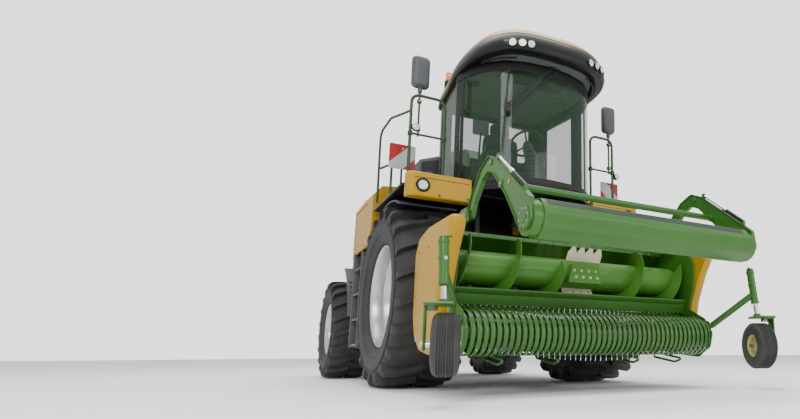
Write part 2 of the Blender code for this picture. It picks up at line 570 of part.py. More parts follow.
# ---------------------------------------------------------------- header
H = HEADER_HALF
ax, az, tr = AUGER["x"], AUGER["z"], AUGER["trough"]
wall = [(1.12, 0.64), (1.20, 0.46), (1.46, 0.34), (1.88, 0.305), (2.04, 0.40), (2.075, 0.53), (1.98, 0.67),
        (1.76, 0.78), (1.84, 1.00), (1.86, 1.24), (1.74, 1.45), (1.28, 1.45), (1.12, 1.30)]
trough = strip(arc(ax, az, tr, -42, -248, 16), arc(ax, az, tr + 0.018, -42, -248, 16))
apron = [(1.715, 0.865), (1.735, 0.87), (1.690, 0.742), (1.672, 0.742)]
head = [prism(wall, "y", s * (H - 0.002), s * (H + 0.02)) for _, s in SIDES]
head += [prism(trough, "y", -H, H), prism(apron, "y", -H, H),
         box(1.145, 1.262, -H, H, 1.34, 1.46), box(1.50, 1.58, -H, H, 0.352, 0.43)]
# webs between the trough and the lower beam
for y in (-1.05, -0.55, 0.55, 1.05):
    head.append(prism([(1.145, 0.94), (1.20, 0.835), (1.28, 0.795), (1.40, 0.752), (1.56, 0.42),
                       (1.52, 0.36), (1.25, 0.55)], "y", y - 0.012, y + 0.012))
for _, s in SIDES:
    head.append(prism([(1.20, 1.36), (1.24, 1.455), (1.58, 1.565), (1.70, 1.565), (1.72, 1.44), (1.60, 1.40)],
                      "y", s * 1.135, s * 1.16))
    head.append(cyl((PRESS_AXIS[0], s * 1.075, PRESS_AXIS[1]), (PRESS_AXIS[0], s * 1.15, PRESS_AXIS[1]), 0.018, 12))
node("header_frame", "green", head, [box(1.0, 1.30, -0.36, 0.36, 0.86, 1.30)], origin=(1.125, 0, TILT_Z))
shield = [(2.02, 1.42), (1.45, 1.42), (1.20, 1.37), (1.10, 1.24), (1.10, 0.64), (1.17, 0.46), (1.30, 0.36),
          (1.50, 0.33), (1.70, 0.34), (1.74, 0.60), (1.80, 0.86), (1.93, 1.14), (2.06, 1.34)]
for name, s in SIDES:
    node("end_shield_" + name, "yellow", [prism(shield, "y", s * (H + 0.02 + GAP), s * 1.41)])

# auger: tube, two opposite-handed flights and the paddles between them
auger = [cyl((ax, -1.255, az), (ax, 1.255, az), AUGER["tube"], 20)]
for _, s in SIDES:
    steps, turns, y0, y1 = 28, 1.75, 1.22, 0.36
    rings = []
    for i in range(steps + 1):
        t = i / steps
        a = s * -2 * math.pi * turns * t + (0.0 if s > 0 else math.pi)
        y = s * (y0 + (y1 - y0) * t)
        c, d = math.cos(a), math.sin(a)
        rings.append([(ax + c * r, y + e, az + d * r) for r, e in
                      ((0.14, -0.006), (0.14, 0.006), (AUGER["r"], 0.005), (AUGER["r"], -0.005))])
    auger.append(loft(rings))
for y0, y1, a in ((-0.30, -0.03, 30), (0.03, 0.30, 120), (-0.30, -0.03, 210), (0.03, 0.30, 300)):
    c, d = math.cos(math.radians(a)), math.sin(math.radians(a))
    rings = [[(ax + c * r - d * e, y, az + d * r + c * e) for r, e in
              ((0.13, -0.007), (0.29, -0.007), (0.29, 0.007), (0.13, 0.007))] for y in (y0, y1)]
    auger.append(loft(rings))
node("auger", "green", auger, origin=(ax, 0, az))

# reel core with its tine bars
rx, rz = REEL["x"], REEL["z"]
reel = [cyl((rx, -1.245, rz), (rx, 1.245, rz), REEL["core"], 16)]
for a in (45, 135, 225, 315):
    c, d = math.cos(math.radians(a)), math.sin(math.radians(a))
    rings = [[(rx + c * r - d * e, y, rz + d * r + c * e) for r, e in
              ((0.09, -0.02), (0.135, -0.02), (0.135, 0.02), (0.09, 0.02))] for y in (-1.235, 1.235)]
    reel.append(loft(rings))
node("pickup_reel", "black", reel, origin=(rx, 0, rz))

# bands round the reel, joined by a rail at each end of their path
band_path = [(1.655, 0.737)] + arc(rx, rz, REEL["band"] - BAND_T / 2, 112, -108, 7) + [(1.60, 0.371)]


def offset_line(pts, d):
    out = []
    for i, p in enumerate(pts):
        a, b = pts[max(i - 1, 0)], pts[min(i + 1, len(pts) - 1)]
        e = Vector((b[0] - a[0], b[1] - a[1])).normalized()
        out.append((p[0] - e.y * d, p[1] + e.x * d))
    return out


section = strip(offset_line(band_path, -BAND_T / 2), offset_line(band_path, BAND_T / 2))
bands = []
for i in range(BAND_COUNT):
    y = (i - (BAND_COUNT - 1) / 2) * BAND_PITCH
    bands.append(prism(section, "y", y - BAND_W / 2, y + BAND_W / 2))
node("reel_bands", "green",
     [box(1.646, 1.670, -1.24, 1.24, 0.722, 0.7415), box(1.590, 1.612, -1.24, 1.24, 0.360, 0.386),
      merged(bands)])

# crop press: octagonal tube on two cranked arms
px, pz, pr = PRESS_TUBE["x"], PRESS_TUBE["z"], PRESS_TUBE["r"]
press = [cyl((px, -PRESS_TUBE["half"], pz), (px, PRESS_TUBE["half"], pz), pr, 8, turn=math.radians(12)),
         cyl((2.30, -1.10, 1.62), (2.30, 1.10, 1.62), 0.03, 10)]
# arm outline: x, z
arm_out = [(1.60, 1.46), (1.60, 1.54), (1.72, 1.70), (1.90, 1.86), (2.06, 1.92), (2.20, 1.86), (2.80, 1.40),
           (2.82, 1.24), (2.74, 1.17), (2.62, 1.22), (2.40, 1.50), (2.16, 1.74), (2.05, 1.79), (1.94, 1.74),
           (1.78, 1.58), (1.72, 1.46)]
for _, s in SIDES:
    press.append(prism(arm_out, "y", s * 1.085, s * 1.125))
    press.append(cyl((px, s * 1.02, pz), (px, s * 1.09, pz), 0.10, 12))
node("crop_press", "green", press,
     [cyl((PRESS_AXIS[0], s * 1.0, PRESS_AXIS[1]), (PRESS_AXIS[0], s * 1.2, PRESS_AXIS[1]), 0.0195, 12)
      for s in (1, -1)], origin=(PRESS_AXIS[0], 0, PRESS_AXIS[1]))

# guide wheels: sleeve on a cranked arm, castor fork, wheel
gx, gy, gz = GUIDE["x"], GUIDE["y"], GUIDE["z"]
for name, s in SIDES:
    foot = Vector((gx + 0.03, s * (gy + 0.01), 0.0))
    def post(z, foot=foot):
        return foot + Vector((-LEAN * (z - 0.40), 0, z))
    node("guide_arm_" + name, "green",
         [tube([post(0.80), post(1.14)], 0.040, 12), tube([post(0.90), (2.16, s * 1.42, 0.72), (1.98, s * 1.36, 0.60),
                                                           (1.98, s * (H + 0.02 + GAP), 0.60)], 0.034, 8)])
    turn = Matrix.Translation(foot) @ Matrix.Rotation(GUIDE_YAW, 4, "Z") @ Matrix.Translation(-foot)
    cy0 = s * gy
    fork = [box(gx - 0.10, gx + 0.08, *sorted((cy0 - s * 0.05, cy0 + s * 0.155)), 0.655, 0.685),
            box(gx - 0.05, gx + 0.05, *sorted((cy0 + s * 0.130, cy0 + s * 0.152)), 0.36, 0.67),
            cyl((gx, cy0 + s * 0.14, gz), (gx, cy0 - s * 0.10, gz), 0.020, 12)]
    fork = [moved(f, turn) for f in fork]
    fork.append(tube([post(0.66), post(0.793)], 0.022, 10))
    node("guide_fork_" + name, "green", fork, origin=tuple(post(0.66)))
    w, r = GUIDE["half"], GUIDE["r"]
    prof = [(-w * 0.55, 0.0225), (-w * 0.6, 0.10), (-w, 0.14), (-w * 0.93, r * 0.90), (-w * 0.6, r),
            (w * 0.6, r), (w * 0.93, r * 0.90), (w, 0.14), (w * 0.6, 0.10), (w * 0.55, 0.0225)]
    wheel = moved(turned(prof, (gx, cy0, gz), s, 20), turn)
    centre = turn @ Vector((gx, cy0, gz))
    node("guide_wheel_" + name, "tyre", [wheel], origin=tuple(centre))
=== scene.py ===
import math
import bpy
import bmesh
from mathutils import Matrix, Vector


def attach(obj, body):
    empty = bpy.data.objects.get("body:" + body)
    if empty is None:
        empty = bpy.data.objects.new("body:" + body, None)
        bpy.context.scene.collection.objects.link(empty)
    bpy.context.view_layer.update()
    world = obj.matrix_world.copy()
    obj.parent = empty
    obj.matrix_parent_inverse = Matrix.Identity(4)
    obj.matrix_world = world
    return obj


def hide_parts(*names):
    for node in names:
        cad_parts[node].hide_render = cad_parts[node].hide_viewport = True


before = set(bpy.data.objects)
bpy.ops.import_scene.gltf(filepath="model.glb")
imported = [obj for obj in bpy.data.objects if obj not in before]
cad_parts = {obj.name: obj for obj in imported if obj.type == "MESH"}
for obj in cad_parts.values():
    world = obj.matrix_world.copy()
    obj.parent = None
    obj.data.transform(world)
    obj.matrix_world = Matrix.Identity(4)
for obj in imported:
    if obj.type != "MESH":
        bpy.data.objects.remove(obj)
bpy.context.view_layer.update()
OX, OY = 0.8942, -0.0137      # front axle's ground point in the row frame
SIDES = (("left", 1), ("right", -1))


# ------------------------------------------------------------------ materials
def material(name, colour, rough, metal=0.0, vary=0.12, scale=3.0, grain=40.0, bump=0.05,
             coat=0.0, rough_vary=0.10, dirt=None, dirt_top=1.2, dirt_amount=0.5, stretch=(1, 1, 1), spec=0.4):
    """Procedural finish: uneven colour, uneven roughness, fine grain, and dust that thins upwards."""
    mat = bpy.data.materials.new(name)
    mat.use_nodes = True
    nt = mat.node_tree
    sh = nt.nodes["Principled BSDF"]
    sh.inputs["Metallic"].default_value = metal
    sh.inputs["Coat Weight"].default_value = coat
    sh.inputs["Coat Roughness"].default_value = 0.08
    sh.inputs["Specular IOR Level"].default_value = spec
    tc = nt.nodes.new("ShaderNodeTexCoord")
    mp = nt.nodes.new("ShaderNodeMapping")
    mp.inputs["Scale"].default_value = stretch
    nt.links.new(tc.outputs["Object"], mp.inputs["Vector"])
    broad = nt.nodes.new("ShaderNodeTexNoise")
    broad.inputs["Scale"].default_value = scale
    broad.inputs["Detail"].default_value = 5.0
    nt.links.new(mp.outputs["Vector"], broad.inputs["Vector"])
    ramp = nt.nodes.new("ShaderNodeValToRGB")
    lo = [max(0.0, c * (1 - vary)) for c in colour]
    hi = [min(1.0, c * (1 + vary)) for c in colour]
    ramp.color_ramp.elements[0].position, ramp.color_ramp.elements[0].color = 0.32, (*lo, 1)
    ramp.color_ramp.elements[1].position, ramp.color_ramp.elements[1].color = 0.68, (*hi, 1)
    nt.links.new(broad.outputs["Fac"], ramp.inputs["Fac"])
    out = ramp.outputs["Color"]
    if dirt is not None:
        xyz = nt.nodes.new("ShaderNodeSeparateXYZ")
        nt.links.new(tc.outputs["Object"], xyz.inputs["Vector"])
        fall = nt.nodes.new("ShaderNodeMapRange")
        fall.inputs["From Min"].default_value, fall.inputs["From Max"].default_value = 0.0, dirt_top
        fall.inputs["To Min"].default_value, fall.inputs["To Max"].default_value = dirt_amount, 0.0
        nt.links.new(xyz.outputs["Z"], fall.inputs["Value"])
        spots = nt.nodes.new("ShaderNodeTexNoise")
        spots.inputs["Scale"].default_value, spots.inputs["Detail"].default_value = 11.0, 8.0
        nt.links.new(tc.outputs["Object"], spots.inputs["Vector"])
        mul = nt.nodes.new("ShaderNodeMath")
        mul.operation = "MULTIPLY"
        nt.links.new(fall.outputs["Result"], mul.inputs[0])
        nt.links.new(spots.outputs["Fac"], mul.inputs[1])
        mix = nt.nodes.new("ShaderNodeMix")
        mix.data_type = "RGBA"
        nt.links.new(mul.outputs["Value"], mix.inputs["Factor"])
        nt.links.new(out, mix.inputs[6])
        mix.inputs[7].default_value = (*dirt, 1)
        out = mix.outputs[2]
    nt.links.new(out, sh.inputs["Base Color"])
    rr = nt.nodes.new("ShaderNodeMapRange")
    rr.inputs["To Min"].default_value = max(0.02, rough - rough_vary)
    rr.inputs["To Max"].default_value = min(1.0, rough + rough_vary)
    nt.links.new(broad.outputs["Fac"], rr.inputs["Value"])
    nt.links.new(rr.outputs["Result"], sh.inputs["Roughness"])
    fine = nt.nodes.new("ShaderNodeTexNoise")
    fine.inputs["Scale"].default_value, fine.inputs["Detail"].default_value = grain, 4.0
    nt.links.new(mp.outputs["Vector"], fine.inputs["Vector"])
    bp = nt.nodes.new("ShaderNodeBump")
    bp.inputs["Strength"].default_value, bp.inputs["Distance"].default_value = bump, 0.004
    nt.links.new(fine.outputs["Fac"], bp.inputs["Height"])
    nt.links.new(bp.outputs["Normal"], sh.inputs["Normal"])
    return mat


M = {
    "yellow": material("yellow_paint", (0.40, 0.225, 0.004), 0.38, vary=0.05, coat=0.10, bump=0.02, scale=1.5,
                       rough_vary=0.06, spec=0.2),
    "green": material("green_paint", (0.026, 0.115, 0.008), 0.36, vary=0.12, coat=0.25, bump=0.03, scale=2.0,
                      dirt=(0.10, 0.13, 0.06), dirt_top=1.6, dirt_amount=0.16, spec=0.3),
    "green_light": material("light_green_paint", (0.050, 0.165, 0.016), 0.38, vary=0.10, coat=0.10, scale=2.0, spec=0.3),
    "green_dark": material("dark_green_paint", (0.012, 0.045, 0.008), 0.42, vary=0.15, coat=0.2, spec=0.3),
    "olive": material("olive_strip", (0.022, 0.034, 0.026), 0.40, vary=0.2),
    "plastic": material("grey_moulding", (0.060, 0.067, 0.074), 0.50, vary=0.12, grain=220, bump=0.14),
    "dark_plastic": material("black_moulding", (0.009, 0.0095, 0.010), 0.34, vary=0.25, grain=220, bump=0.05, spec=0.22),
    "black": material("black_paint", (0.014, 0.014, 0.015), 0.45, vary=0.3, dirt=(0.11, 0.10, 0.08), dirt_top=1.6,
                      dirt_amount=0.35),
    "iron": material("cast_iron_paint", (0.045, 0.049, 0.047), 0.58, metal=0.3, vary=0.3, grain=90, bump=0.3),
    "rubber": material("tyre_rubber", (0.020, 0.0205, 0.021), 0.70, vary=0.35, scale=5, grain=120, bump=0.25,
                       dirt=(0.12, 0.115, 0.10), dirt_top=2.2, dirt_amount=0.30),
    "soft_black": material("seal_rubber", (0.009, 0.009, 0.010), 0.58, vary=0.3, grain=150, bump=0.15),
    "rim": material("rim_paint", (0.50, 0.52, 0.53), 0.30, metal=0.75, vary=0.06, bump=0.03, dirt=(0.26, 0.25, 0.22),
                    dirt_top=1.6, dirt_amount=0.2),
    "cream": material("cream_paint", (0.55, 0.52, 0.36), 0.42, vary=0.08),
    "hub_yellow": material("hub_paint", (0.50, 0.42, 0.16), 0.42, vary=0.12),
    "steel": material("bright_steel", (0.66, 0.67, 0.68), 0.18, metal=1.0, vary=0.06, grain=300, bump=0.04, rough_vary=0.06),
    "zinc": material("zinc_bolt", (0.50, 0.50, 0.48), 0.34, metal=0.9, vary=0.12, scale=30),
    "cloth": material("seat_cloth", (0.030, 0.032, 0.037), 0.92, vary=0.25, scale=40, grain=600, bump=0.5),
    "red": material("signal_red", (0.34, 0.008, 0.008), 0.36, vary=0.06),
    "white": material("signal_white", (0.62, 0.63, 0.64), 0.36, vary=0.04),
    "amber": material("amber_lens", (0.72, 0.20, 0.01), 0.18, vary=0.08, coat=0.8),
    "lamp": material("lamp_glass", (0.66, 0.67, 0.58), 0.14, metal=0.25, vary=0.14, scale=60, grain=180, bump=0.5, coat=1.0),
    "reflector": material("lamp_bowl", (0.75, 0.75, 0.74), 0.10, metal=1.0, vary=0.05),
    "mirror": material("mirror_glass", (0.72, 0.74, 0.76), 0.04, metal=1.0, vary=0.02, bump=0.0, rough_vary=0.01),
    "liner": material("headliner", (0.10, 0.115, 0.10), 0.85, vary=0.1, grain=300, bump=0.3),
    "screen": material("terminal_screen", (0.02, 0.03, 0.035), 0.12, vary=0.1, coat=1.0),
}


def glass_material(name, tint, alpha):
    mat = material(name, tint, 0.05, vary=0.05, scale=0.8, grain=4.0, bump=0.006, rough_vary=0.02, spec=0.6)
    mat.node_tree.nodes["Principled BSDF"].inputs["Alpha"].default_value = alpha
    return mat


M["glass"] = glass_material("green_glass", (0.022, 0.060, 0.028), 0.26)
M["glass_side"] = glass_material("green_side_glass", (0.030, 0.085, 0.035), 0.30)


def plate_material(name, sign, shift_by):
    """Red and white diagonal bars of a hazard plate."""
    mat = material(name, (0.7, 0.7, 0.7), 0.34, vary=0.03)
    nt = mat.node_tree
    sh = nt.nodes["Principled BSDF"]
    tc = nt.nodes.new("ShaderNodeTexCoord")
    xyz = nt.nodes.new("ShaderNodeSeparateXYZ")
    nt.links.new(tc.outputs["Object"], xyz.inputs["Vector"])

    def op(kind, a, b):
        n = nt.nodes.new("ShaderNodeMath")
        n.operation = kind
        for k, v in enumerate((a, b)):
            if isinstance(v, (int, float)):
                n.inputs[k].default_value = v
            else:
                nt.links.new(v, n.inputs[k])
        return n.outputs["Value"]

    side = op("MULTIPLY", xyz.outputs["Y"], sign)
    along = op("ADD", op("ADD", side, xyz.outputs["Z"]), shift_by)
    bars = op("GREATER_THAN", op("PINGPONG", along, 0.20), 0.10)
    wear = nt.nodes.new("ShaderNodeTexNoise")
    wear.inputs["Scale"].default_value = 18.0
    nt.links.new(tc.outputs["Object"], wear.inputs["Vector"])
    fade = nt.nodes.new("ShaderNodeMapRange")
    fade.inputs["To Min"].default_value, fade.inputs["To Max"].default_value = 0.92, 1.05
    nt.links.new(wear.outputs["Fac"], fade.inputs["Value"])
    mix = nt.nodes.new("ShaderNodeMix")
    mix.data_type = "RGBA"
    nt.links.new(bars, mix.inputs["Factor"])
    mix.inputs[6].default_value = (0.30, 0.006, 0.006, 1)
    mix.inputs[7].default_value = (0.34, 0.36, 0.37, 1)
    mul = nt.nodes.new("ShaderNodeMix")
    mul.data_type, mul.blend_type = "RGBA", "MULTIPLY"
    mul.inputs["Factor"].default_value = 1.0
    nt.links.new(mix.outputs[2], mul.inputs[6])
    nt.links.new(fade.outputs["Result"], mul.inputs[7])
    nt.links.new(mul.outputs[2], sh.inputs["Base Color"])
    return mat


# ------------------------------------------------------------------ shape tools
def shift(v):
    return Vector(v) + Vector((OX, OY, 0))


def catmull(pts, per, closed=False):
    """Smooth curve through points, per pieces between each two."""
    pts = [Vector(p) for p in pts]
    n = len(pts)
    out = []
    for i in range(n if closed else n - 1):
        def at(k):
            return pts[k % n] if closed else pts[max(0, min(n - 1, k))]
        p0, p1, p2, p3 = at(i - 1), at(i), at(i + 1), at(i + 2)
        for k in range(per):
            t = k / per
            out.append(0.5 * ((2 * p1) + (p2 - p0) * t + (2 * p0 - 5 * p1 + 4 * p2 - p3) * t * t
                              + (3 * p1 - p0 - 3 * p2 + p3) * t ** 3))
    if not closed:
        out.append(pts[-1])
    return out


def fillet(pts, r, n=5, closed=False):
    """Rounds the corners of a path."""
    pts = [Vector(p) for p in pts]
    out = [] if closed else [pts[0]]
    rng = range(len(pts)) if closed else range(1, len(pts) - 1)
    for i in rng:
        a, b, c = pts[i - 1], pts[i], pts[(i + 1) % len(pts)]
        u, v = a - b, c - b
        lu, lv = u.length, v.length
        u, v = u / lu, v / lv
        ang = u.angle(v)
        if ang > math.pi - 0.03:
            out.append(b)
            continue
        rr = r[i % len(r)] if isinstance(r, (list, tuple)) else r
        t = min(rr / math.tan(ang / 2), lu * 0.48, lv * 0.48)
        rr = t * math.tan(ang / 2)
        centre = b + (u + v).normalized() * (rr / math.sin(ang / 2))
        e0, e1 = b + u * t - centre, b + v * t - centre
        th = e0.angle(e1)
        for k in range(n + 1):
            s = k / n
            q = e0.lerp(e1, s) if th < 1e-4 else (e0 * math.sin((1 - s) * th) + e1 * math.sin(s * th)) / math.sin(th)
            out.append(centre + q)
    if not closed:
        out.append(pts[-1])
    return out


class Shape:
    """Gathers many small solids, in vehicle coordinates, into one mesh."""

    def __init__(self):
        self.v, self.f, self.m = [], [], []
        self.s = 0

    def use(self, slot):
        self.s = slot
        return self

    def add(self, verts, faces):
        b = len(self.v)
        self.v += [tuple(p) for p in verts]
        self.f += [tuple(b + i for i in f) for f in faces]
        self.m += [self.s] * len(faces)
        return self

    def loft(self, rings, closed=False, caps=True):
        n = len(rings[0])
        verts = [p for r in rings for p in r]
        faces = []
        for i in range(len(rings) if closed else len(rings) - 1):
            a, b = i * n, ((i + 1) % len(rings)) * n
            for j in range(n):
                k = (j + 1) % n
                faces.append((a + j, a + k, b + k, b + j))
        if caps and not closed:
            faces.append(tuple(reversed(range(n))))
            faces.append(tuple(range((len(rings) - 1) * n, len(rings) * n)))
        return self.add(verts, faces)

    def prism(self, pts, axis, a, b):
        def at(p, t):
            return {"x": (t, p[0], p[1]), "y": (p[0], t, p[1]), "z": (p[0], p[1], t)}[axis]
        return self.loft([[at(p, a) for p in pts], [at(p, b) for p in pts]])

    def soft_prism(self, pts, axis, a, b, e=0.006):
        """Prism whose end edges are eased by a small chamfer."""
        def at(p, t):
            return {"x": (t, p[0], p[1]), "y": (p[0], t, p[1]), "z": (p[0], p[1], t)}[axis]
        pts = [Vector(p) for p in pts]
        area = sum(pts[i - 1].x * pts[i].y - pts[i].x * pts[i - 1].y for i in range(len(pts)))
        sign = 1 if area > 0 else -1
        ins = []
        for i, p in enumerate(pts):
            d0, d1 = (p - pts[i - 1]).normalized(), (pts[(i + 1) % len(pts)] - p).normalized()
            n0, n1 = Vector((-d0.y, d0.x)), Vector((-d1.y, d1.x))
            n = (n0 + n1)
            n = n.normalized() if n.length > 1e-6 else n0
            ins.append(p + n * sign * e)
        d = e if b > a else -e
        return self.loft([[at(p, a) for p in ins], [at(p, a + d) for p in pts],
                          [at(p, b - d) for p in pts], [at(p, b) for p in ins]])

    def box(self, x0, x1, y0, y1, z0, z1, e=0.0):
        y0, y1 = min(y0, y1), max(y0, y1)
        x0, x1 = min(x0, x1), max(x0, x1)
        pts = [(x0, y0), (x1, y0), (x1, y1), (x0, y1)]
        if e:
            pts = [tuple(p) for p in fillet([Vector((a, b)) for a, b in pts], e, 2, closed=True)]
            return self.soft_prism(pts, "z", z0, z1, e * 0.7)
        return self.prism(pts, "z", z0, z1)

    def cyl(self, p0, p1, r0, n=16, r1=None, turn=0.0, e=0.0):
        p0, p1 = Vector(p0), Vector(p1)
        d = (p1 - p0).normalized()
        up = Vector((0, 0, 1)) if abs(d.z) < 0.9 else Vector((1, 0, 0))
        u = d.cross(up).normalized()
        v = u.cross(d)
        r1 = r0 if r1 is None else r1
        steps = ((p0, r0), (p1, r1)) if not e else ((p0, r0 - e), (p0 + d * e, r0), (p1 - d * e, r1), (p1, r1 - e))
        rings = [[p + (u * math.cos(turn + 2 * math.pi * i / n) + v * math.sin(turn + 2 * math.pi * i / n)) * r
                  for i in range(n)] for p, r in steps]
        return self.loft(rings)

    def tube(self, pts, r, n=10, closed=False):
        pts = [Vector(p) for p in pts]
        rings, u = [], None
        for i, p in enumerate(pts):
            a = pts[i - 1] if (i or closed) else None
            b = pts[(i + 1) % len(pts)] if (i < len(pts) - 1 or closed) else None
            d0 = (p - a).normalized() if a is not None else (b - p).normalized()
            d1 = (b - p).normalized() if b is not None else d0
            d = (d0 + d1).normalized()
            if u is None:
                up = Vector((0, 0, 1)) if abs(d.z) < 0.9 else Vector((1, 0, 0))
                u = d.cross(up)
            u = (u - d * u.dot(d)).normalized()
            v = d.cross(u)
            rings.append([p + (u * math.cos(2 * math.pi * k / n) + v * math.sin(2 * math.pi * k / n)) * r for k in range(n)])
        return self.loft(rings, closed=closed)

    def sweep(self, pts, section, ref, closed=False, widths=None):
        """Section (across, out) carried along a path; ref is the across direction."""
        pts, ref = [Vector(p) for p in pts], Vector(ref).normalized()
        rings = []
        for i, p in enumerate(pts):
            a = pts[i - 1] if (i or closed) else p
            b = pts[(i + 1) % len(pts)] if (i < len(pts) - 1 or closed) else p
            d = (b - a).normalized()
            s = (ref - d * ref.dot(d)).normalized()
            t = d.cross(s)
            w = widths[i] if widths else 1.0
            rings.append([p + s * q[0] + t * q[1] * w for q in section])
        return self.loft(rings, closed=closed)

    def turn(self, profile, centre, n, axis="y", side=1, closed=True):
        """(along, radius) points turned about an axis through centre."""
        c = Vector(centre)
        m = len(profile)
        verts, faces = [], []
        for i in range(n):
            a = 2 * math.pi * i / n
            for t, r in profile:
                e = {"y": (r * math.cos(a), side * t, r * math.sin(a)),
                     "x": (side * t, r * math.cos(a), r * math.sin(a)),
                     "z": (r * math.cos(a), r * math.sin(a), side * t)}[axis]
                verts.append(c + Vector(e))
        for i in range(n):
            a, b = i * m, ((i + 1) % n) * m
            for j in range(m if closed else m - 1):
                k = (j + 1) % m
                faces.append((a + j, a + k, b + k, b + j))
        return self.add(verts, faces)

    def bolt(self, p, axis, r=0.012, h=0.010):
        p, d = Vector(p), Vector(axis).normalized()
        self.cyl(p - d * 0.002, p + d * h * 0.3, r * 1.45, 12)
        return self.cyl(p + d * h * 0.25, p + d * h * 1.2, r, 6)

    def moved(self, start, matrix):
        """Moves everything added since vertex number start."""
        for i in range(start, len(self.v)):
            self.v[i] = tuple(matrix @ Vector(self.v[i]))
        return self

    def done(self, name, mats, body, slot=None, replaces=(), smooth=40, bevel=0.0, segs=2, flat=False):
        mesh = bpy.data.meshes.new(name)
        mesh.from_pydata([tuple(shift(p)) for p in self.v], [], self.f)
        bm = bmesh.new()
        bm.from_mesh(mesh)
        for f, m in zip(bm.faces, self.m):
            f.material_index = m
        bmesh.ops.recalc_face_normals(bm, faces=bm.faces)
        bm.to_mesh(mesh)
        bm.free()
        obj = bpy.data.objects.new(name, mesh)
        bpy.context.scene.collection.objects.link(obj)
        for m in (mats if isinstance(mats, (list, tuple)) else [mats]):
            mesh.materials.append(M[m] if isinstance(m, str) else m)
        if not flat:
            mesh.shade_smooth()
            mesh.set_sharp_from_angle(angle=math.radians(smooth))
        if bevel:
            mod = obj.modifiers.new("edge", "BEVEL")
            mod.width, mod.segments, mod.limit_method, mod.angle_limit = bevel, segs, "ANGLE", math.radians(35)
            mod.harden_normals = True
        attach(obj, body)
        if replaces:
            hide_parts(*replaces)
        return obj


def give(node, *mats):
    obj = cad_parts[node]
    obj.data.materials.clear()
    for m in mats:
        obj.data.materials.append(M[m] if isinstance(m, str) else m)


# finishes of the CAD nodes that stay as they are
FINISH = {
    "chassis_frame": "black", "front_axle": "iron", "engine_block": "iron", "chopper_housing": "black",
    "cab_frame": "dark_plastic", "side_glass": "glass_side", "rear_glass": "glass_side",
    "body_shell": "yellow", "cab_door": "dark_plastic", "door_glass": "glass_side",
    "side_cover_left": "yellow", "side_cover_right": "yellow", "rear_screen": "dark_plastic",
    "rear_axle": "iron", "knuckle_left": "iron", "knuckle_right": "iron", "feed_housing": "green_dark",
    "lift_barrels": "black", "lift_rods": "steel", "pickup_reel": "green_dark",
}
for key, mat in FINISH.items():
    give(key, mat)

# ------------------------------------------------------------------ roof
CAB_PLAN = [(-0.55, 0.64), (-0.47, 0.72), (0.45, 0.83), (0.67, 0.755), (0.84, 0.645), (0.975, 0.50), (1.06, 0.27), (1.09, 0)]
ROOF_SIDE = [(-0.62, 0.60), (-0.53, 0.74), (-0.07, 0.80), (0.40, 0.86), (0.80, 0.83), (1.05, 0.75), (1.22, 0.62),
             (1.31, 0.46), (1.35, 0.25)]
roof_loop = [(-0.62, 0.0)] + [(x, -y) for x, y in ROOF_SIDE] + [(1.36, 0.0)] + [(x, y) for x, y in reversed(ROOF_SIDE)]
roof_loop = catmull([(x, y, 0) for x, y in roof_loop], 5, closed=True)
CROWN = [(3.435, 0.985, 0.985), (3.455, 1.0, 1.0), (3.56, 0.992, 0.982), (3.66, 0.958, 0.925), (3.75, 0.895, 0.855),
         (3.82, 0.775, 0.735), (3.86, 0.60, 0.56), (3.874, 0.40, 0.38)]


def table(z, rows):
    if z <= rows[0][0]:
        return rows[0][1:]
    for a, b in zip(rows, rows[1:]):
        if z <= b[0]:
            t = (z - a[0]) / (b[0] - a[0])
            return tuple(p + (q - p) * t for p, q in zip(a[1:], b[1:]))
    return rows[-1][1:]


def brow_line(x):
    return table(x, [(-0.62, 3.475), (-0.20, 3.50), (0.20, 3.54), (0.69, 3.605), (1.00, 3.645), (1.36, 3.655)])[0]


def roof_ring(low, high, t, swell=0.0):
    out = []
    for p in roof_loop:
        zb = brow_line(p.x)
        z = (3.435 + (zb - 3.435) * t) if high is None else (zb + (3.874 - zb) * t)
        kx, ky = table(z, CROWN)
        out.append((0.15 + (p.x - 0.15) * (kx + swell), p.y * (ky + swell), z))
    return out


shell = Shape()
rings = [roof_ring(0, 1, 0.012, -0.012)] + [roof_ring(0, 1, t, 0.0) for t in
        (0.02, 0.12, 0.25, 0.4, 0.55, 0.7, 0.82, 0.91, 0.97, 1.0)]
shell.loft(rings)
# two shallow ribs on the crown
for s in (1, -1):
    shell.tube(catmull([(-0.34, s * 0.47, 3.792), (-0.10, s * 0.50, 3.829), (0.35, s * 0.505, 3.829), (0.80, s * 0.46, 3.793)], 6), 0.014, 10)
shell.done("roof_shell", "yellow", "chassis", "yellow_paint", replaces=("cab_roof",), smooth=50)

brow = Shape()
inner = [[(0.15 + (p.x - 0.15) * k, p.y * k, z) for p in roof_loop] for k, z in ((0.86, 3.47), (0.84, 3.505))]
outer = [roof_ring(0, None, t, w) for t, w in ((0.0, -0.012), (0.05, 0.0), (0.2, 0.004), (0.5, 0.004), (0.8, 0.002),
                                               (0.97, 0.0), (1.0, -0.010), (1.02, -0.03))]
brow.loft([inner[1], inner[0]] + outer, caps=True)
brow.done("roof_brow", "dark_plastic", "chassis", "grey_plastic", smooth=50)

liner = Shape()
liner.loft([[(0.15 + (p.x - 0.15) * 0.85, p.y * 0.85, z) for p in roof_loop] for z in (3.462, 3.475)])
liner.box(0.55, 0.98, -0.42, 0.42, 3.445, 3.463, 0.02)
liner.use(1)
liner.box(0.60, 0.93, -0.36, -0.06, 3.438, 3.446, 0.015).box(0.60, 0.93, 0.06, 0.36, 3.438, 3.446, 0.015)
for s in (1, -1):
    liner.cyl((0.30, s * 0.60, 3.462), (0.30, s * 0.60, 3.452), 0.08, 24)
liner.done("headliner", ["liner", "dark_plastic"], "chassis", "grey_plastic", smooth=40)

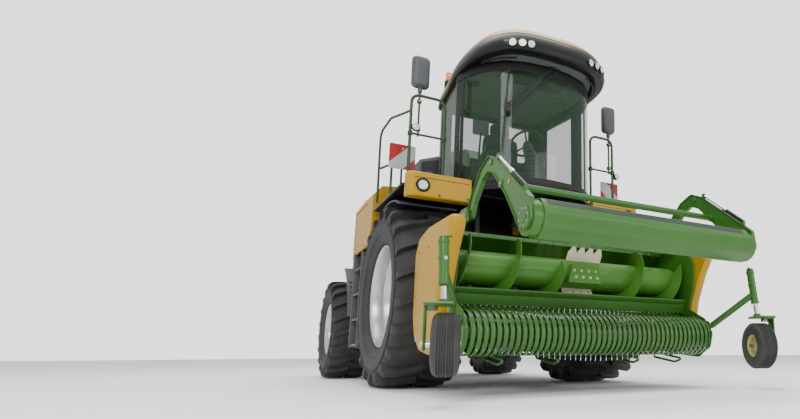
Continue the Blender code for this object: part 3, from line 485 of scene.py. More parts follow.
# work lights: six in the brow, each with its pod, bowl and lens
lamps = Shape()
for s in (1, -1):
    lamps.use(0).tube(catmull([(1.286, s * 0.330, 3.50), (1.280, s * 0.37, 3.50), (1.262, s * 0.462, 3.50), (1.214, s * 0.560, 3.50), (1.185, s * 0.60, 3.50)], 4), 0.053, 20)
    for k in (-1, 0, 1):
        yy = s * 0.462 + k * 0.092
        t = abs(yy)
        xx = table(t, [(0.30, 1.337), (0.37, 1.326), (0.46, 1.306), (0.555, 1.262), (0.62, 1.21)])[0] + 0.012
        nrm = Vector((1, (0.18 + (t - 0.30) * 2.2) * (1 if yy > 0 else -1), -0.10)).normalized()
        c = Vector((xx + 0.004, yy, 3.500))
        lamps.use(0).cyl(c - nrm * 0.03, c + nrm * 0.008, 0.0455, 28, e=0.003)
        lamps.use(1).cyl(c + nrm * 0.006, c + nrm * 0.0115, 0.037, 28, e=0.002)
        lamps.use(2).cyl(c + nrm * 0.010, c + nrm * 0.0145, 0.0335, 28, e=0.002)
lamps.done("work_lights", ["dark_plastic", "reflector", "lamp"], "chassis", "bright_steel", smooth=40)

trim = Shape()
for s in (1, -1):
    trim.tube(catmull([(0.86, s * 0.70, 3.43), (1.02, s * 0.60, 3.428), (1.14, s * 0.44, 3.427)], 5), 0.009, 8)
# rotating beacon on its base
trim.cyl((-0.27, -0.70, 3.60), (-0.27, -0.70, 3.70), 0.055, 24, e=0.006)
trim.use(1).cyl((-0.27, -0.70, 3.70), (-0.27, -0.70, 3.80), 0.045, 24, 0.038, e=0.008)
trim.use(0).cyl((-0.27, -0.70, 3.80), (-0.27, -0.70, 3.81), 0.036, 24, e=0.003)
trim.done("beacon", ["dark_plastic", "amber"], "chassis", "grey_plastic", smooth=45)

# ------------------------------------------------------------------ windscreen
front = [(x, y) for x, y in CAB_PLAN if x > 0.44]
half = catmull([(x, -y, 0) for x, y in [(0.41, 0.826)] + front] , 6)
full = half + [Vector((p.x, -p.y, 0)) for p in reversed(half[:-1])]


def parallel(path, d):
    out = []
    for i, p in enumerate(path):
        a, b = path[max(0, i - 1)], path[min(len(path) - 1, i + 1)]
        e = (b - a).normalized()
        out.append(Vector((p.x - e.y * d, p.y + e.x * d, 0)))
    return out


def wall(shape, path, d0, d1, z0, z1):
    a, b = parallel(path, d0), parallel(path, d1)
    return shape.loft([[(p.x, p.y, z0), (q.x, q.y, z0), (q.x, q.y, z1), (p.x, p.y, z1)] for p, q in zip(a, b)])


glass = Shape()
wall(glass, full, 0.004, 0.010, 2.125, 3.385)
glass.done("windscreen_pane", "glass", "chassis", "tinted_glass", replaces=("windscreen",), smooth=60)
seal = Shape()
wall(seal, full, 0.000, 0.016, 2.108, 2.150)
wall(seal, full, -0.002, 0.020, 3.352, 3.43)
for i0 in (0, len(full) - 4):
    wall(seal, full[i0:i0 + 4], -0.001, 0.018, 2.115, 3.40)
for f in (0.118, 0.882):
    k = int(f * (len(full) - 1))
    wall(seal, full[k:k + 2], 0.001, 0.013, 2.13, 3.38)
seal.done("windscreen_seal", "soft_black", "chassis", "grey_plastic", smooth=60)

# wiper: parallel arms from the brow and a long blade against the glass
wiper = Shape()
wiper.cyl((1.075, 0.03, 3.47), (1.115, 0.03, 3.47), 0.03, 20, e=0.004)
wiper.tube([(1.115, 0.02, 3.47), (1.118, 0.0, 3.44), (1.045, -0.50, 2.92)], 0.008, 8)
wiper.tube([(1.112, 0.10, 3.47), (1.115, 0.08, 3.43), (1.052, -0.47, 2.86)], 0.006, 8)
wiper.box(1.030, 1.062, -0.53, -0.46, 2.84, 2.94, 0.006)
wiper.tube([(1.040, -0.475, 3.38), (1.046, -0.50, 3.15), (1.040, -0.515, 2.90), (1.022, -0.545, 2.42)], 0.006, 8)
wiper.use(1).tube([(1.030, -0.470, 3.38), (1.034, -0.495, 3.15), (1.028, -0.510, 2.90), (1.010, -0.540, 2.42)], 0.007, 6)
wiper.done("wiper", ["black", "soft_black"], "chassis", "grey_plastic", smooth=45)

# ------------------------------------------------------------------ inside the cab
seat = Shape()


def cushion(shape, cx, cy, cz, hx, hy, hz, p=4.5, tilt=0.0, nu=36, nv=24):
    """Rounded cushion with softened edges."""
    rings = []
    for j in range(1, nv):
        b = -math.pi / 2 + math.pi * j / nv
        row = []
        for i in range(nu):
            a = 2 * math.pi * i / nu
            def sp(v):
                return math.copysign(abs(v) ** (2 / p), v)
            cb = sp(math.cos(b))
            x, y, z = hx * cb * sp(math.cos(a)), hy * cb * sp(math.sin(a)), hz * sp(math.sin(b))
            row.append((cx + x * math.cos(tilt) + z * math.sin(tilt), cy + y, cz - x * math.sin(tilt) + z * math.cos(tilt)))
        rings.append(row)
    return shape.loft(rings)


cushion(seat, 0.02, 0, 2.565, 0.24, 0.235, 0.06, tilt=-0.02)
cushion(seat, -0.255, 0, 2.84, 0.062, 0.225, 0.27)
for s in (1, -1):
    cushion(seat, 0.02, s * 0.205, 2.585, 0.22, 0.036, 0.05, 3.0)
    cushion(seat, -0.235, s * 0.20, 2.84, 0.055, 0.036, 0.23, 3.0)
    cushion(seat, -0.02, s * 0.29, 2.735, 0.17, 0.03, 0.026, 3.0)
cushion(seat, -0.255, 0, 3.18, 0.045, 0.13, 0.078)
seat_obj = seat.done("seat_cushions", "cloth", "chassis", "seat_fabric", smooth=60)
base = Shape()
base.box(-0.20, 0.24, -0.22, 0.22, 2.47, 2.505, 0.01)
for i in range(7):
    base.box(-0.14 - 0.008 * (i % 2), 0.16 + 0.008 * (i % 2), -0.18 - 0.006 * (i % 2), 0.18 + 0.006 * (i % 2),
             2.13 + i * 0.048, 2.13 + i * 0.048 + 0.046, 0.008)
base.box(-0.16, 0.18, -0.20, 0.20, 2.095, 2.13, 0.008)
for s in (1, -1):
    base.cyl((-0.24, s * 0.06, 3.08), (-0.24, s * 0.06, 3.13), 0.007, 10)
    base.box(-0.20, -0.17, s * 0.255, s * 0.285, 2.52, 2.735, 0.004)
base.done("seat_base", "plastic", "chassis", "seat_fabric", replaces=("driver_seat",), smooth=40)

col = Shape()
tilt = math.radians(32)
wc, wu = Vector((0.42, 0.05, 2.80)), Vector((-math.sin(tilt), 0, math.cos(tilt)))
wx = Vector((math.cos(tilt), 0, math.sin(tilt)))
col.tube([wc + (wx * math.cos(a) + Vector((0, math.sin(a), 0))) * 0.19 for a in (2 * math.pi * i / 48 for i in range(48))],
         0.0145, 12, closed=True)
for a in (math.radians(q) for q in (90, 210, 330)):
    out = wx * math.cos(a) + Vector((0, 1, 0)) * math.sin(a)
    col.tube([wc - wu * 0.03, wc - wu * 0.022 + out * 0.06, wc - wu * 0.004 + out * 0.186], 0.011, 8)
col.cyl(wc - wu * 0.05, wc + wu * 0.004, 0.052, 24, 0.043, e=0.005)
col.use(1)
top, mid, low = wc - wu * 0.045, Vector((0.60, 0.05, 2.45)), Vector((0.63, 0.05, 2.112))
for i in range(9):
    t0, t1 = i / 9, (i + 0.8) / 9
    col.cyl(top.lerp(mid, t0), top.lerp(mid, t1), 0.058 + 0.02 * t0 + (0.007 if i % 2 else 0.0), 20, e=0.003)
for i in range(8):
    t0, t1 = i / 8, (i + 0.86) / 8
    col.cyl(mid.lerp(low, t0), mid.lerp(low, t1), 0.082 + 0.012 * t0 + (0.004 if i % 2 else 0.0), 20, e=0.004)
col.use(0).tube([(0.50, 0.10, 2.68), (0.46, 0.20, 2.70), (0.44, 0.26, 2.72)], 0.008, 8)
col.done("steering_wheel", ["dark_plastic", "plastic"], "chassis", "grey_plastic", replaces=("steering_column",), smooth=40)

console = Shape()
console.box(-0.12, 0.22, -0.36, -0.29, 2.60, 2.70, 0.02).box(0.10, 0.20, -0.36, -0.30, 2.70, 2.80, 0.012)
console.tube([(0.15, -0.325, 2.78), (0.17, -0.325, 2.88)], 0.018, 12)
console.box(-0.10, 0.10, -0.44, -0.37, 2.10, 2.62, 0.02)
console.tube([(0.20, -0.45, 2.14), (0.30, -0.50, 2.60), (0.34, -0.50, 2.86)], 0.012, 8)
console.use(1).box(0.325, 0.345, -0.60, -0.40, 2.82, 3.00, 0.008)
console.use(2).box(0.318, 0.326, -0.59, -0.41, 2.83, 2.99, 0.004)
console.done("console", ["dark_plastic", "plastic", "screen"], "chassis", "grey_plastic", smooth=40)

# ------------------------------------------------------------------ deck, lamps, toolbox
deck = Shape()
deck.use(1).box(-0.58, 0.665, -1.45, 1.45, 1.99, 2.018, 0.004)
for i in range(15):
    for s in (1, -1):
        deck.box(0.02 + i * 0.04, 0.036 + i * 0.04, s * 0.90, s * 1.42, 2.017, 2.0198)
for _, s in SIDES:
    deck.use(1)
    for x0, x1 in ((-0.56, -0.46), (0.16, 0.26)):
        deck.box(x0, x1, s * 0.45, s * 0.51, 1.295, 2.0, 0.004)
    deck.use(0)
    pts = [(0.655, s * 0.755), (0.782, s * 0.755), (0.782, s * 1.37), (0.745, s * 1.425), (0.655, s * 1.425)]
    deck.soft_prism([tuple(p) for p in fillet([Vector(p) for p in pts], 0.02, 4, closed=True)], "z", 1.868, 2.12, 0.012)
    deck.use(3).box(0.7805, 0.7835, s * 0.78, s * 1.36, 2.058, 2.064)
    # lamp with its bezel
    c = Vector((0.780, s * 1.27, 1.985))
    deck.use(1).cyl(c - Vector((0.01, 0, 0)), c + Vector((0.012, 0, 0)), 0.072, 32, e=0.005)
    deck.use(4).cyl(c + Vector((0.008, 0, 0)), c + Vector((0.014, 0, 0)), 0.050, 32, e=0.003)
    deck.use(5).cyl(c + Vector((0.012, 0, 0)), c + Vector((0.018, 0, 0)), 0.042, 32, e=0.004)
    for yy in (0.80, 1.10):
        deck.use(2).bolt((0.781, s * yy, 1.90), (1, 0, 0), 0.010, 0.008)
deck.use(2)
tb = [(-1.20, 2.022), (-0.962, 2.022), (-0.952, 2.492), (-1.188, 2.408)]
deck.soft_prism([tuple(p) for p in fillet([Vector(p) for p in tb], 0.03, 5, closed=True)], "x", -0.12, 0.34, 0.014)
deck.use(3).soft_prism([(-1.17, 2.10), (-0.99, 2.10), (-0.98, 2.43), (-1.165, 2.375)], "x", 0.338, 0.346, 0.006)
deck.use(2).box(0.344, 0.352, -1.11, -1.05, 2.24, 2.28, 0.004)
deck.done("deck_plating", ["yellow", "dark_plastic", "plastic", "soft_black", "reflector", "lamp"], "chassis", "yellow_paint",
          replaces=("deck",), smooth=40)

# railings with clamps, one each side
for name, s in SIDES:
    rail = Shape()
    px, yi, yo = 0.42, 0.96, (1.30 if s > 0 else 1.33)
    path = fillet([(px, s * yi, 2.02), (px, s * yi, 3.09), (px, s * yo, 3.09), (px, s * yo, 2.02)], 0.09, 8)
    rail.tube(path, 0.0165, 14)
    rail.tube([(px, s * yi, 2.645), (px, s * yo, 2.645)], 0.0125, 12)
    rail.tube([(px, s * 1.247, 2.62), (px, s * 1.247, 3.20)], 0.0118, 12)
    if s < 0:
        rail.tube(fillet([(px, s * yo, 2.90), (0.10, -1.46, 2.90), (-0.28, -1.48, 2.86), (-0.34, -1.46, 2.04)], 0.12, 6), 0.0135, 12)
        rail.tube(fillet([(-0.16, -1.48, 2.395), (0.04, -1.41, 2.40), (0.04, -1.41, 2.02)], 0.05, 5), 0.0135, 12)
    for y in (yi, yo):
        rail.cyl((px, s * y, 2.021), (px, s * y, 2.036), 0.034, 18, e=0.003)
        rail.box(px - 0.022, px + 0.022, s * y - 0.022, s * y + 0.022, 2.62, 2.67, 0.004)
    if s > 0:
        rail.use(2).cyl((px - 0.02, 1.355, 2.60), (px + 0.03, 1.355, 2.60), 0.040, 24, e=0.006)
        rail.use(3).cyl((px + 0.028, 1.355, 2.60), (px + 0.036, 1.355, 2.60), 0.034, 24, e=0.003)
        rail.use(0).tube([(px, 1.30, 2.57), (px, 1.355, 2.575)], 0.009, 10)
    else:
        rail.use(2).cyl((px - 0.01, -1.275, 2.72), (px + 0.022, -1.275, 2.72), 0.045, 24, e=0.006)
        rail.use(3).cyl((px + 0.020, -1.275, 2.72), (px + 0.026, -1.275, 2.72), 0.038, 24, e=0.003)
        rail.use(0)
    for z in (2.70, 3.02):
        rail.use(1).bolt((px + 0.02, s * 1.247, z), (1, 0, 0), 0.007, 0.007)
        rail.use(0).box(px - 0.018, px + 0.02, s * 1.225, s * 1.27, z - 0.02, z + 0.02, 0.004)
    rail.done("handrail_" + name, ["green_dark", "zinc", "dark_plastic", "lamp"], "chassis", "black_paint", replaces=("railing_" + name,), smooth=50)

    mir = Shape()
    outline = fillet([Vector((s * 1.15, 3.175)), Vector((s * 1.343, 3.175)), Vector((s * 1.345, 3.545)), Vector((s * 1.15, 3.545))],
                     0.05, 7, closed=True)
    cx, cz = s * 1.247, 3.36
    rings = []
    for x, k in ((0.392, 0.95), (0.399, 1.0), (0.425, 1.0), (0.448, 0.94), (0.468, 0.78), (0.478, 0.55)):
        rings.append([(x, cx + (p.x - cx) * k, cz + (p.y - cz) * (0.5 + 0.5 * k if k < 0.9 else k)) for p in outline])
    mir.loft(rings)
    mir.use(1).loft([[(x, cx + (p.x - cx) * 0.90, cz + (p.y - cz) * 0.93) for p in outline] for x in (0.3905, 0.394)])
    mir.use(0).box(0.40, 0.44, s * 1.225, s * 1.27, 3.12, 3.19, 0.008)
    mir.done("mirror_head_" + name, ["plastic", "mirror"], "chassis", "grey_plastic", replaces=("mirror_" + name,), smooth=50)

    pl = Shape()
    body = fillet([Vector((s * 1.218, 2.281)), Vector((s * 1.496, 2.281)), Vector((s * 1.496, 2.559)), Vector((s * 1.218, 2.559))],
                  0.018, 4, closed=True)
    pl.soft_prism([tuple(p) for p in body], "x", 0.2575, 0.2685, 0.002)
    pl.use(1).tube([(0.249, s * 1.355, 2.021), (0.249, s * 1.355, 2.50)], 0.012, 12)
    pl.box(0.238, 0.2575, s * 1.34, s * 1.37, 2.46, 2.50, 0.003)
    for zz in (2.33, 2.51):
        pl.use(2).bolt((0.2685, s * 1.357, zz), (1, 0, 0), 0.008, 0.006)
    pl.done("hazard_plate_" + name, [plate_material("plate_" + name, s, 0.05), "black", "zinc"], "chassis", "warning_film",
            replaces=("warning_plate_" + name,), smooth=40)

    # mudguards: rolled sheet with a beaded edge
    for end, cx0, cz0, r0, r1, a0, a1, y0, y1 in (("front", 0.0, 0.948, 1.010, 1.022, 64, 158, 0.79, 1.41),
                                                  ("rear", -3.07, 0.72, 1.002, 1.012, 8, 58, 0.985, 1.395)):
        g = Shape()
        rings = []
        for i in range(33):
            a = math.radians(a0 + (a1 - a0) * i / 32)
            ca, sa = math.cos(a), math.sin(a)
            ring = []
            for y, r in ((y0, r0), (y1 - 0.02, r0), (y1 - 0.002, r0 - 0.006), (y1, r0 - 0.004), (y1, r1 - 0.002),
                         (y1 - 0.016, r1 + 0.004), (y0 + 0.02, r1 + 0.004), (y0, r1)):
                ring.append((cx0 + ca * r, s * y, cz0 + sa * r))
            rings.append(ring)
        g.loft(rings)
        for a in (a0 + 20, (a0 + a1) / 2, a1 - 20):
            c, d = math.cos(math.radians(a)), math.sin(math.radians(a))
            g.tube([(cx0 + c * (r1 + 0.008), s * (y0 + 0.03), cz0 + d * (r1 + 0.008)),
                    (cx0 + c * (r1 + 0.008), s * (y1 - 0.03), cz0 + d * (r1 + 0.008))], 0.010, 8)
        g.done("%s_guard_%s" % (end, name), "plastic", "chassis", "grey_plastic", replaces=("%s_mudguard_%s" % (end, name),), smooth=40)
# ------------------------------------------------------------------ tyres
FRONT = dict(x=0.0, y=1.115, r=0.948, half=0.385, rim=0.540)
REAR = dict(x=-3.07, y=1.2265, r=0.720, half=0.2935, rim=0.3835)


def tractor_tyre(name, spec, side, lugs, depth, body):
    c = (spec["x"], side * spec["y"], spec["r"])
    R, w, rim = spec["r"], spec["half"], spec["rim"]
    h = R - rim
    base = R - depth
    # carcass: across, radius
    half = [(0.0, base), (0.45, base - 0.002), (0.78, base - 0.018), (0.92, base - 0.055), (0.975, base - 0.11),
            (1.0, rim + 0.50 * h), (0.985, rim + 0.34 * h), (0.93, rim + 0.18 * h), (0.865, rim + 0.075 * h),
            (0.86, rim + 0.05 * h), (0.80, rim + 0.03 * h), (0.775, rim + 0.004)]
    prof = [(t * w, r) for t, r in half] + [(-t * w, r) for t, r in reversed(half[1:])]
    s = Shape()
    s.turn(prof, c, 112, side=side)
    # thin moulded rings on the sidewalls
    for out in (1, -1):
        for rr, tt, hh in ((rim + 0.60 * h, 0.995, 0.006), (rim + 0.26 * h, 0.965, 0.008)):
            s.turn([(out * (tt * w - 0.004), rr - hh), (out * (tt * w + 0.0025), rr - hh * 0.4),
                    (out * (tt * w + 0.0025), rr + hh * 0.4), (out * (tt * w - 0.004), rr + hh)], c, 112, side=side)
    # lugs: swept bars, alternate left and right
    step = 2 * math.pi / lugs
    for out in (1, -1):
        for i in range(lugs):
            a0 = i * step + (step / 2 if out < 0 else 0)
            rings = []
            for k, t in enumerate((0.02, 0.25, 0.5, 0.74, 0.93, 1.0)):
                sweep = 0.40 * (t ** 0.82) * (w / R) * 1.02
                top = R - 0.0006 - (0.0 if t < 0.6 else 0.020 * ((t - 0.6) / 0.4) ** 1.6)
                low = base - 0.012 - (0.0 if t < 0.75 else 0.10 * ((t - 0.75) / 0.25))
                if t == 1.0:
                    top -= 0.035
                half_a = (0.026 + 0.010 * t) / R * (h / 0.408) ** 0.5
                ring = []
                for da, rr in ((-half_a * 1.35, low), (half_a * 1.35, low), (half_a, top), (-half_a, top)):
                    a = a0 - sweep + da
                    tt = t * w * (0.995 if rr == top else 0.97)
                    ring.append((c[0] + rr * math.cos(a), c[1] + side * out * tt, c[2] + rr * math.sin(a)))
                rings.append(ring)
            s.loft(rings)
    s.done(name, "rubber", body, "tyre_rubber", replaces=(body.replace("wheel", "tyre"),), smooth=38)


for name, side in SIDES:
    tractor_tyre("front_tread_" + name, FRONT, side, 21, 0.052, "front_wheel_" + name)
    tractor_tyre("rear_tread_" + name, REAR, side, 20, 0.042, "rear_wheel_" + name)

# ------------------------------------------------------------------ pick-up tines on the reel
RX, RZ = 1.884, 0.5025
PITCH = 0.055
s = Shape()
for i in range(44):
    y = (i - 21.5) * PITCH
    lead = 38.0 * abs(i - 21.5) / 21.5       # tines run in a V across the reel
    for q in range(4):
        a = math.radians(90 * q + 20 + lead * (1 if (i // 11) % 2 else 1))
        pts = []
        for r, da in ((0.10, 0.0), (0.16, 0.02), (0.21, -0.02), (0.238, -0.10)):
            pts.append((RX + r * math.cos(a + da), y, RZ + r * math.sin(a + da)))
        s.tube(pts, 0.0032, 5)
s.done("pickup_tines", "steel", "pickup_reel", "bright_steel")


# ------------------------------------------------------------------ rims
def rim(name, spec, side, hub_r, hub_out, disc, body, studs, stud_ring):
    c = (spec["x"], side * spec["y"], spec["r"])
    w, r = spec["half"] * 0.78, spec["rim"]
    s = Shape()
    prof = [(disc - 0.02, 0.0), (disc - 0.02, r * 0.60), (disc - 0.05, r - 0.060), (-w * 0.90, r - 0.045), (-w - 0.010, r - 0.024),
            (-w - 0.012, r - 0.002), (w + 0.008, r - 0.002), (w + 0.012, r - 0.006), (w + 0.012, r - 0.016), (w + 0.002, r - 0.026),
            (w - 0.030, r - 0.034), (w * 0.80, r - 0.046), (w * 0.60, r - 0.048), (w * 0.55, r - 0.060), (disc + 0.09, r - 0.075),
            (disc + 0.045, r - 0.092), (disc + 0.020, r - 0.120), (disc + 0.020, r * 0.66), (disc + 0.034, r * 0.62),
            (disc + 0.040, r * 0.56), (disc + 0.034, r * 0.50), (disc + 0.046, hub_r + 0.045), (disc + 0.050, hub_r + 0.004),
            (hub_out - 0.055, hub_r), (hub_out - 0.040, hub_r - 0.012), (hub_out - 0.034, hub_r * 0.70), (hub_out - 0.010, hub_r * 0.66),
            (hub_out - 0.001, hub_r * 0.58), (hub_out, hub_r * 0.30), (hub_out, 0.0)]
    s.turn([(t, max(q, 0.0)) for t, q in prof], c, 96, side=side, closed=False)
    for i in range(studs):
        a = 2 * math.pi * i / studs
        ca, sa = math.cos(a), math.sin(a)
        s.use(1).bolt((c[0] + stud_ring * ca, c[1] + side * (disc + 0.040), c[2] + stud_ring * sa), (0, side, 0), 0.015, 0.022)
    for i in range(8):
        a = 2 * math.pi * (i + 0.5) / 8
        ca, sa = math.cos(a), math.sin(a)
        s.bolt((c[0] + hub_r * 0.83 * ca, c[1] + side * (hub_out - 0.037), c[2] + hub_r * 0.83 * sa), (0, side, 0), 0.008, 0.010)
    # valve stem
    s.use(2).cyl((c[0] + (r - 0.10) * 0.5, c[1] + side * (disc + 0.05), c[2] + (r - 0.10) * 0.85),
                 (c[0] + (r - 0.12) * 0.5, c[1] + side * (disc + 0.10), c[2] + (r - 0.12) * 0.85), 0.006, 10)
    s.done(name, ["rim", "zinc", "soft_black"], body, "rim_paint", replaces=(body.replace("wheel", "rim"),), smooth=35)


for name, side in SIDES:
    rim("front_disc_" + name, FRONT, side, 0.20, 0.20, 0.005, "front_wheel_" + name, 12, 0.255)
    rim("rear_disc_" + name, REAR, side, 0.11, 0.13, 0.03, "rear_wheel_" + name, 10, 0.155)

# ------------------------------------------------------------------ header
H, AX, AZ, TR = 1.27, 1.48, 1.085, 0.335
RX, RZ, PITCH = 1.884, 0.5025, 0.055


def arc(cx, cz, r, a0, a1, n):
    return [(cx + r * math.cos(math.radians(a0 + (a1 - a0) * i / n)), cz + r * math.sin(math.radians(a0 + (a1 - a0) * i / n)))
            for i in range(n + 1)]


def rounded(pts, r, n=4):
    return [tuple(p) for p in fillet([Vector(p) for p in pts], r, n, closed=True)]


WALL = [(1.12, 0.64), (1.20, 0.46), (1.46, 0.34), (1.88, 0.305), (2.04, 0.40), (2.075, 0.53), (1.98, 0.67),
        (1.76, 0.78), (1.84, 1.00), (1.86, 1.24), (1.74, 1.45), (1.28, 1.45), (1.12, 1.30)]
SHIELD = [(2.02, 1.42), (1.45, 1.42), (1.20, 1.37), (1.10, 1.24), (1.10, 0.64), (1.17, 0.46), (1.30, 0.36),
          (1.50, 0.33), (1.70, 0.34), (1.74, 0.60), (1.80, 0.86), (1.93, 1.14), (2.06, 1.34)]
head = Shape()
wall_out = rounded(WALL, 0.05, 5)
for _, s in SIDES:
    head.soft_prism(wall_out, "y", s * (H - 0.002), s * (H + 0.019), 0.003)
    # edge flange, hub ring and bolts on the inner face
    head.tube([(x, s * (H + 0.004), z) for x, z in wall_out], 0.0085, 8, closed=True)
    head.use(1).cyl((AX, s * 1.262, AZ), (AX, s * 1.27, AZ), 0.10, 32, e=0.002)
    for i in range(6):
        a = math.pi * i / 3
        head.use(2).bolt((AX + 0.085 * math.cos(a), s * 1.264, AZ + 0.085 * math.sin(a)), (0, -s, 0), 0.009, 0.007)
    head.use(0)
trough = arc(AX, AZ, TR, -42, -248, 44) + list(reversed(arc(AX, AZ, TR + 0.016, -42, -248, 44)))
head.prism(trough, "y", -H, H)
head.prism([(1.717, 0.865), (1.733, 0.869), (1.690, 0.744), (1.674, 0.744)], "y", -H, H)
head.tube([(1.732, y, 0.872) for y in (-H + 0.01, 0, H - 0.01)], 0.010, 10)
# top beam: folded channel with slotted face
beam = rounded([(1.147, 1.342), (1.260, 1.342), (1.260, 1.458), (1.147, 1.458)], 0.014, 4)
head.soft_prism(beam, "y", -H, H, 0.003)
for i in range(15):
    y = -1.12 + i * 0.16
    head.use(3).box(1.2585, 1.2625, y - 0.045, y + 0.045, 1.388, 1.418, 0.0)
    head.use(0).box(1.255, 1.268, y - 0.052, y + 0.052, 1.420, 1.426, 0.002)
    if i < 14:
        head.tube([(1.262, y + 0.06, 1.362), (1.264, y + 0.10, 1.446)], 0.007, 8)
        head.use(2).bolt((1.2605, y + 0.08, 1.362), (1, 0, 0), 0.0075, 0.006)
        head.use(0)
low = rounded([(1.502, 0.354), (1.578, 0.354), (1.578, 0.428), (1.502, 0.428)], 0.012, 4)
head.soft_prism(low, "y", -H, H, 0.003)
for y in (-1.05, -0.55, 0.55, 1.05):
    head.prism([(1.147, 0.94), (1.20, 0.835), (1.28, 0.795), (1.40, 0.752), (1.558, 0.42), (1.52, 0.36), (1.25, 0.55)],
               "y", y - 0.010, y + 0.010)
for _, s in SIDES:
    head.soft_prism(rounded([(1.20, 1.36), (1.24, 1.455), (1.58, 1.565), (1.70, 1.565), (1.72, 1.44), (1.60, 1.40)], 0.02, 4),
                    "y", s * 1.136, s * 1.159, 0.003)
    head.use(1).cyl((1.66, s * 1.131, 1.50), (1.66, s * 1.168, 1.50), 0.018, 20, e=0.002)
    head.use(2).bolt((1.66, s * 1.165, 1.50), (0, s, 0), 0.015, 0.010)
    head.use(0)
    for x, z in ((1.30, 1.42), (1.42, 1.45)):
        head.use(2).bolt((x, s * 1.136, z), (0, -s, 0), 0.010, 0.008)
        head.use(0)
# skid loops under the reel
for y in (-0.93, -0.42, 0.42, 0.93):
    head.tube(fillet([(1.56, y, 0.372), (1.60, y, 0.30), (1.90, y, 0.255), (2.02, y, 0.285), (1.92, y, 0.300), (1.62, y, 0.345)], 0.03, 4), 0.011, 8)
# end drums beside the bands
for _, s in SIDES:
    head.use(0).cyl((RX, s * 1.2485, RZ), (RX, s * 1.268, RZ), 0.178, 40, e=0.004)
    head.use(1).cyl((RX, s * 1.2465, RZ), (RX, s * 1.25, RZ), 0.045, 24)
    head.use(0)
head.done("header_welding", ["green", "steel", "zinc", "soft_black"], "header", "green_paint", replaces=("header_frame",), smooth=35)

for name, s in SIDES:
    cover = Shape()
    out = rounded(SHIELD, 0.09, 6)
    cx, cz = 1.50, 0.86

    def inset_by(k):
        return [(cx + (x - cx) * (1 - k), cz + (z - cz) * (1 - k * 0.75)) for x, z in out]
    rows = ((H + 0.0215, 0.004), (H + 0.026, 0.0), (1.352, 0.0), (1.378, 0.010), (1.396, 0.035), (1.4085, 0.095), (1.4095, 0.13))
    cover.loft([[(x, s * y, z) for x, z in inset_by(k)] for y, k in rows])
    # raised oval panel, seam and bolts
    oval = [(1.36 + 0.155 * math.copysign(abs(math.cos(a)) ** 0.62, math.cos(a)), 0.84 + 0.36 * math.copysign(abs(math.sin(a)) ** 0.62, math.sin(a)))
            for a in (2 * math.pi * i / 48 for i in range(48))]
    cover.loft([[(1.36 + (x - 1.36) * k, s * y, 0.84 + (z - 0.84) * k) for x, z in oval] for y, k in ((1.4075, 1.02), (1.4096, 0.98), (1.4096, 0.8))])
    for x, z in ((1.24, 1.22), (1.52, 1.22), (1.24, 0.46), (1.52, 0.46), (1.19, 0.84)):
        cover.use(1).cyl((x, s * 1.400, z), (x, s * 1.4095, z), 0.013, 20, e=0.002)
    cover.done("shield_skin_" + name, ["yellow", "zinc"], "header", "yellow_paint", replaces=("end_shield_" + name,), smooth=50)

# auger: rolled tube, helical flights meeting in the middle, paddles and stub shafts
aug = Shape()
aug.cyl((AX, -1.235, AZ), (AX, 1.235, AZ), 0.15, 48, e=0.003)
aug.use(1).cyl((AX, -1.254, AZ), (AX, 1.254, AZ), 0.045, 24)
aug.use(0)
for s, y_in, phase in ((1, 0.32, 0.0), (-1, 0.16, 0.0)):
    y_out = 1.22
    pitch = 0.50 if s > 0 else 0.47
    y_ref = 0.67 if s > 0 else 0.22
    turns = (y_out - y_in) / pitch
    n = int(turns * 40)
    rings = []
    for i in range(n + 1):
        y = y_in + (y_out - y_in) * i / n
        a = s * 2 * math.pi * (y - y_ref) / pitch
        fade = min(1.0, i / 6)
        top = 0.152 + (0.298 - 0.152) * fade
        c, d = math.cos(a), math.sin(a)
        rings.append([(AX + c * q, s * y + e, AZ + d * q) for q, e in ((0.146, -0.004), (0.146, 0.004), (top, 0.003), (top, -0.003))])
    aug.loft(rings)
    # weld bead at the foot of the flight
    aug.use(0).tube([(AX + math.cos(s * 2 * math.pi * (y_in + (y_out - y_in) * i / n - y_ref) / pitch) * 0.151,
                      s * (y_in + (y_out - y_in) * i / n) + 0.006,
                      AZ + math.sin(s * 2 * math.pi * (y_in + (y_out - y_in) * i / n - y_ref) / pitch) * 0.151) for i in range(0, n + 1, 2)], 0.004, 5)


def paddle(angle, y0, y1, teeth, mat):
    a = math.radians(angle)
    c, d = math.cos(a), math.sin(a)

    def at(r, y, e):
        return (AX + c * r - d * e, y, AZ + d * r + c * e)
    edge = [(y0, 0.150), (y1, 0.150)]
    w = (y1 - y0) / teeth
    for k in range(teeth):
        b = y1 - k * w
        edge += [(b - 0.002, 0.235), (b - w * 0.28, 0.292), (b - w * 0.62, 0.292), (b - w + 0.002, 0.235)]
    aug.use(mat).loft([[at(r, y, e) for y, r in edge] for e in (-0.004, 0.004)])
    for k in range(teeth):
        y = y1 - (k + 0.5) * w
        aug.use(2).bolt(at(0.185, y, 0.004), Vector(at(1, y, 1)) - Vector(at(1, y, 0)), 0.009, 0.008)
    aug.use(0)


